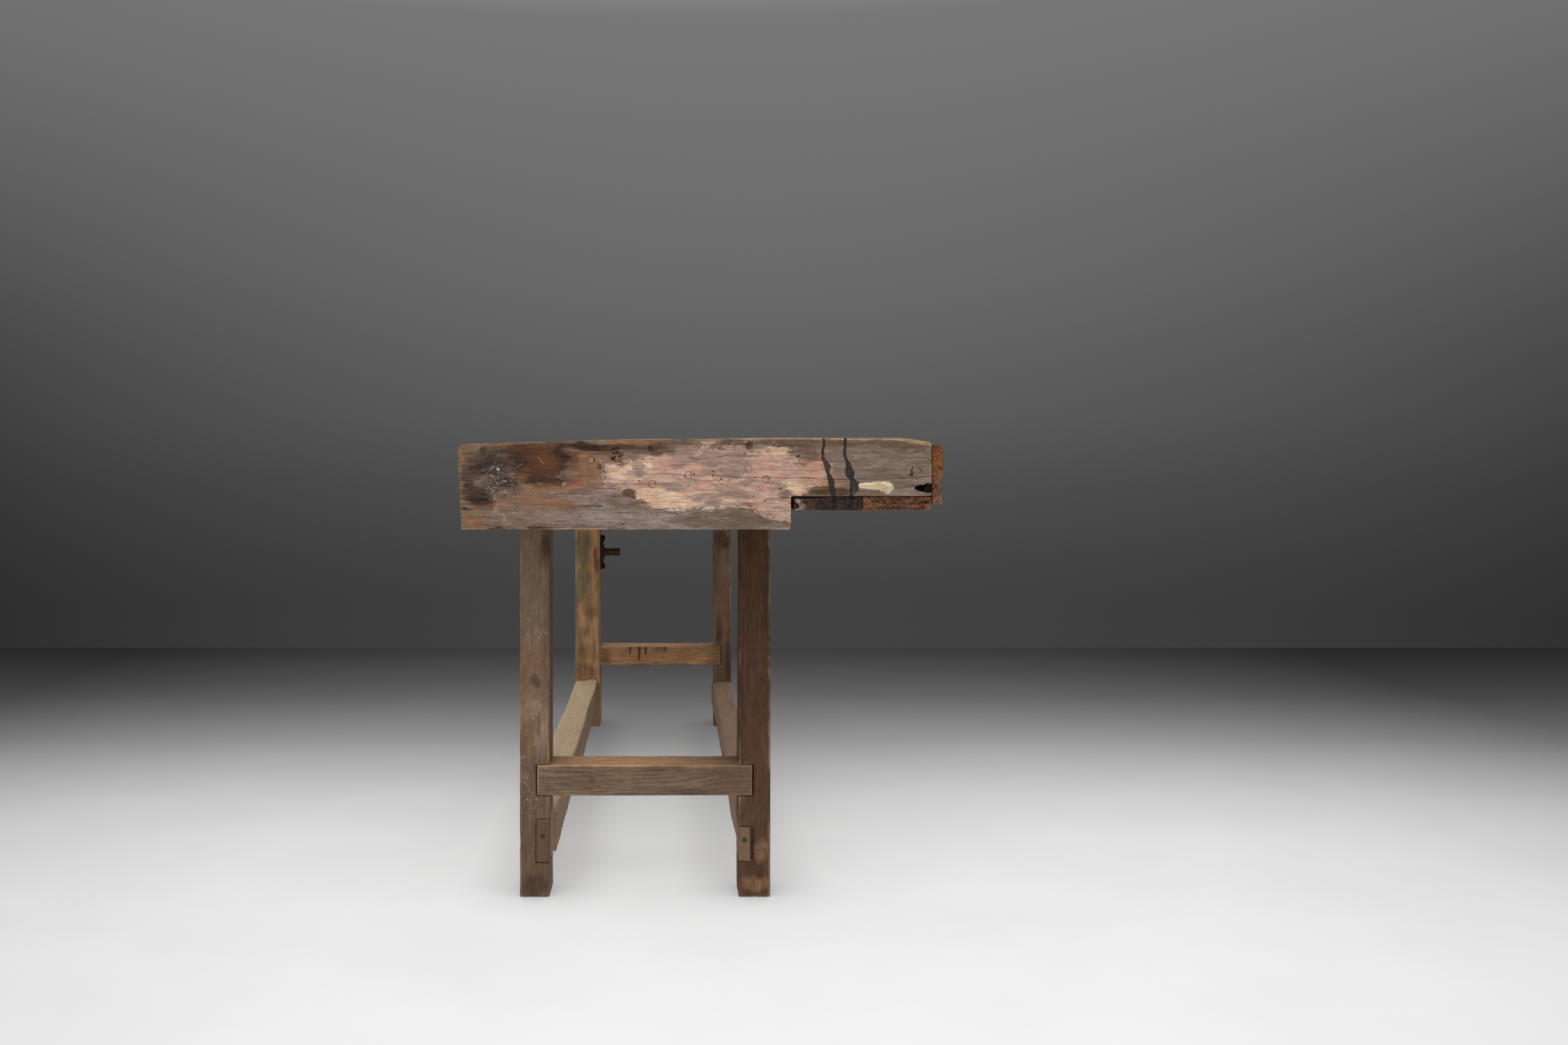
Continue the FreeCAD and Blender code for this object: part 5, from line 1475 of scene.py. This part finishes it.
# How bright the floor is painted, by how far along X it lies: a painted falloff of light towards the
# wall; and how light the wall is, by a direction's rise
FLOOR_LEVELS = [(-2.4, 0.040), (-2.16, 0.048), (-1.8, 0.067), (-1.49, 0.090), (-1.22, 0.12),
                (-0.86, 0.199), (-0.56, 0.291), (-0.22, 0.45), (0.13, 0.614), (0.42, 0.706),
                (0.86, 0.772), (1.4, 0.78)]
WALL_LEVELS = [(-0.14, 0.055), (-0.10, 0.055), (-0.07, 0.062), (-0.02, 0.080), (0.03, 0.107),
               (0.13, 0.144), (0.22, 0.165), (0.31, 0.188), (0.40, 0.45), (0.55, 1.2),
               (1.0, 1.2)]
# The pool of light on the floor: its middle, how it fades to the sides, and its darkest share
POOL_MIDDLE_Y = 0.15
POOL_FADE = 0.10
POOL_LEAST = 0.44
# How near a leg the floor's painted contact shade reaches, and how much it darkens
CONTACT_SHADE_REACH = 0.13
CONTACT_SHADE_SHARE = 0.55
# How fast the wall darkens to the sides of its brightest place
WALL_FADE = 1.95
WALL_OFFSET = 0.13
FRONT_GLOW = 0.38
SIDE_GLOW = 0.55
FLOOR_GLOW = 1.8


def by_levels(s, value, levels):
    """A grey that follows a table of (value, level)."""
    first, last = levels[0][0], levels[-1][0]
    ramp = s.add("ValToRGB", inputs={
        0: s.times(s.minus(value, first), 1 / (last - first))})
    stops = ramp.node.color_ramp.elements
    while len(stops) < len(levels):
        stops.new(0.5)
    for stop, (at, level) in zip(stops, levels):
        stop.position = (at - first) / (last - first)
        stop.color = (level, level, level, 1)
    return ramp


def make_floor():
    """A pale floor that ends at the studio's wall. Its colour, which it also gives off as glow, is
    painted light: it darkens towards the wall and the sides, with painted contact shade near the
    legs.
    """
    far, reach = FLOOR_FAR_X, FLOOR_REACH
    mesh = bpy.data.meshes.new("studio_floor")
    mesh.from_pydata([(far, -reach, 0), (reach, -reach, 0), (reach, reach, 0), (far, reach, 0)],
                     [], [(0, 1, 2, 3)])
    floor = linked("studio_floor", mesh)
    s = Shader("floor_painted_light")
    split = s.add("SeparateXYZ", out="X", inputs={0: s.place})
    aside = s.minus(split.node.outputs["Y"], POOL_MIDDLE_Y)
    fade = s.times(s.times(aside, aside), POOL_FADE)
    level = s.times(by_levels(s, split, FLOOR_LEVELS),
                    s.math("MAXIMUM", s.minus(1.0, fade), POOL_LEAST))
    # Painted contact shade: the floor's colour and glow darken near the legs by ambient occlusion
    contact_shade = s.add("AmbientOcclusion", out="AO", inputs={"Distance": CONTACT_SHADE_REACH})
    level = s.mix(CONTACT_SHADE_SHARE, level, contact_shade, "MULTIPLY")
    grain = s.lumps(s.place, 3.0, 5.0)
    s.colour = s.mix(1.0, level, s.span(grain, 0.2, 0.8, 0.38, 0.40), "MULTIPLY")
    s.rough = s.times_plus(grain, 0.2, 0.6)
    s.height = grain
    # The floor glows with its own painted colour, which lights the bench from below and lightens its
    # shadows on the floor
    mesh.materials.append(s.finish(0.2 * MM, level=0.0, glow=FLOOR_GLOW))


def make_world():
    """A grey studio: a dark wall, lighter above, a soft bright dome and an open front."""
    world = bpy.data.worlds.new("studio")
    world.use_nodes = True
    bpy.context.scene.world = world
    s = Shader("studio", tree=world.node_tree, place="Generated")
    split = s.add("SeparateXYZ", out="Z", inputs={0: s.place})
    ahead, aside = split.node.outputs["X"], split.node.outputs["Y"]
    level = by_levels(s, split, WALL_LEVELS)
    off = s.minus(s.times(aside, WALL_FADE), WALL_OFFSET)
    square = s.math("MINIMUM", s.times(off, off), 1.1)
    share = s.span(split, 0.02, 0.32, 0.5, 0.1)
    shade = s.minus(1.0, s.times(square, share))
    wall = s.times(level, shade)
    front = s.span(ahead, 0.05, 0.7, 0.0, FRONT_GLOW)
    side = s.span(s.math("ABSOLUTE", aside), 0.55, 0.9, 0.0, SIDE_GLOW)
    open_sides = s.math("MAXIMUM", front, side)
    glow = s.add("Background", inputs={"Color": s.math("ADD", wall, open_sides)})
    s.add("OutputWorld", inputs={"Surface": glow})


def add_light(name, place, target, width, height, power):
    data = bpy.data.lights.new(name, "AREA")
    data.shape = "RECTANGLE"
    data.size, data.size_y, data.energy = width, height, power
    light = linked(name, data)
    light.location = place
    aim = Vector(target) - Vector(place)
    light.rotation_euler = aim.to_track_quat("-Z", "Y").to_euler()


def make_camera():
    data = bpy.data.cameras.new("camera")
    data.lens = FOCAL_PX * SENSOR / IMAGE_WIDTH
    data.sensor_width = SENSOR
    data.shift_x = (IMAGE_WIDTH / 2 - VANISH_X) / IMAGE_WIDTH
    data.shift_y = (VANISH_Y - IMAGE_HEIGHT / 2) / IMAGE_WIDTH
    camera = linked("camera", data)
    camera.location = CAMERA
    camera.rotation_euler = (math.pi / 2, 0, math.pi / 2)
    bpy.context.scene.camera = camera


make_floor()
make_world()
make_camera()
add_light("front_softbox", (5.2, -0.9, 1.7), (0, 0, 0.45), 3.5, 2.8, 26)
add_light("high_softbox", (3.9, -0.4, 3.5), (0.8, 0, 0.3), 3.0, 1.8, 32)
bpy.context.scene.view_settings.view_transform = "Standard"
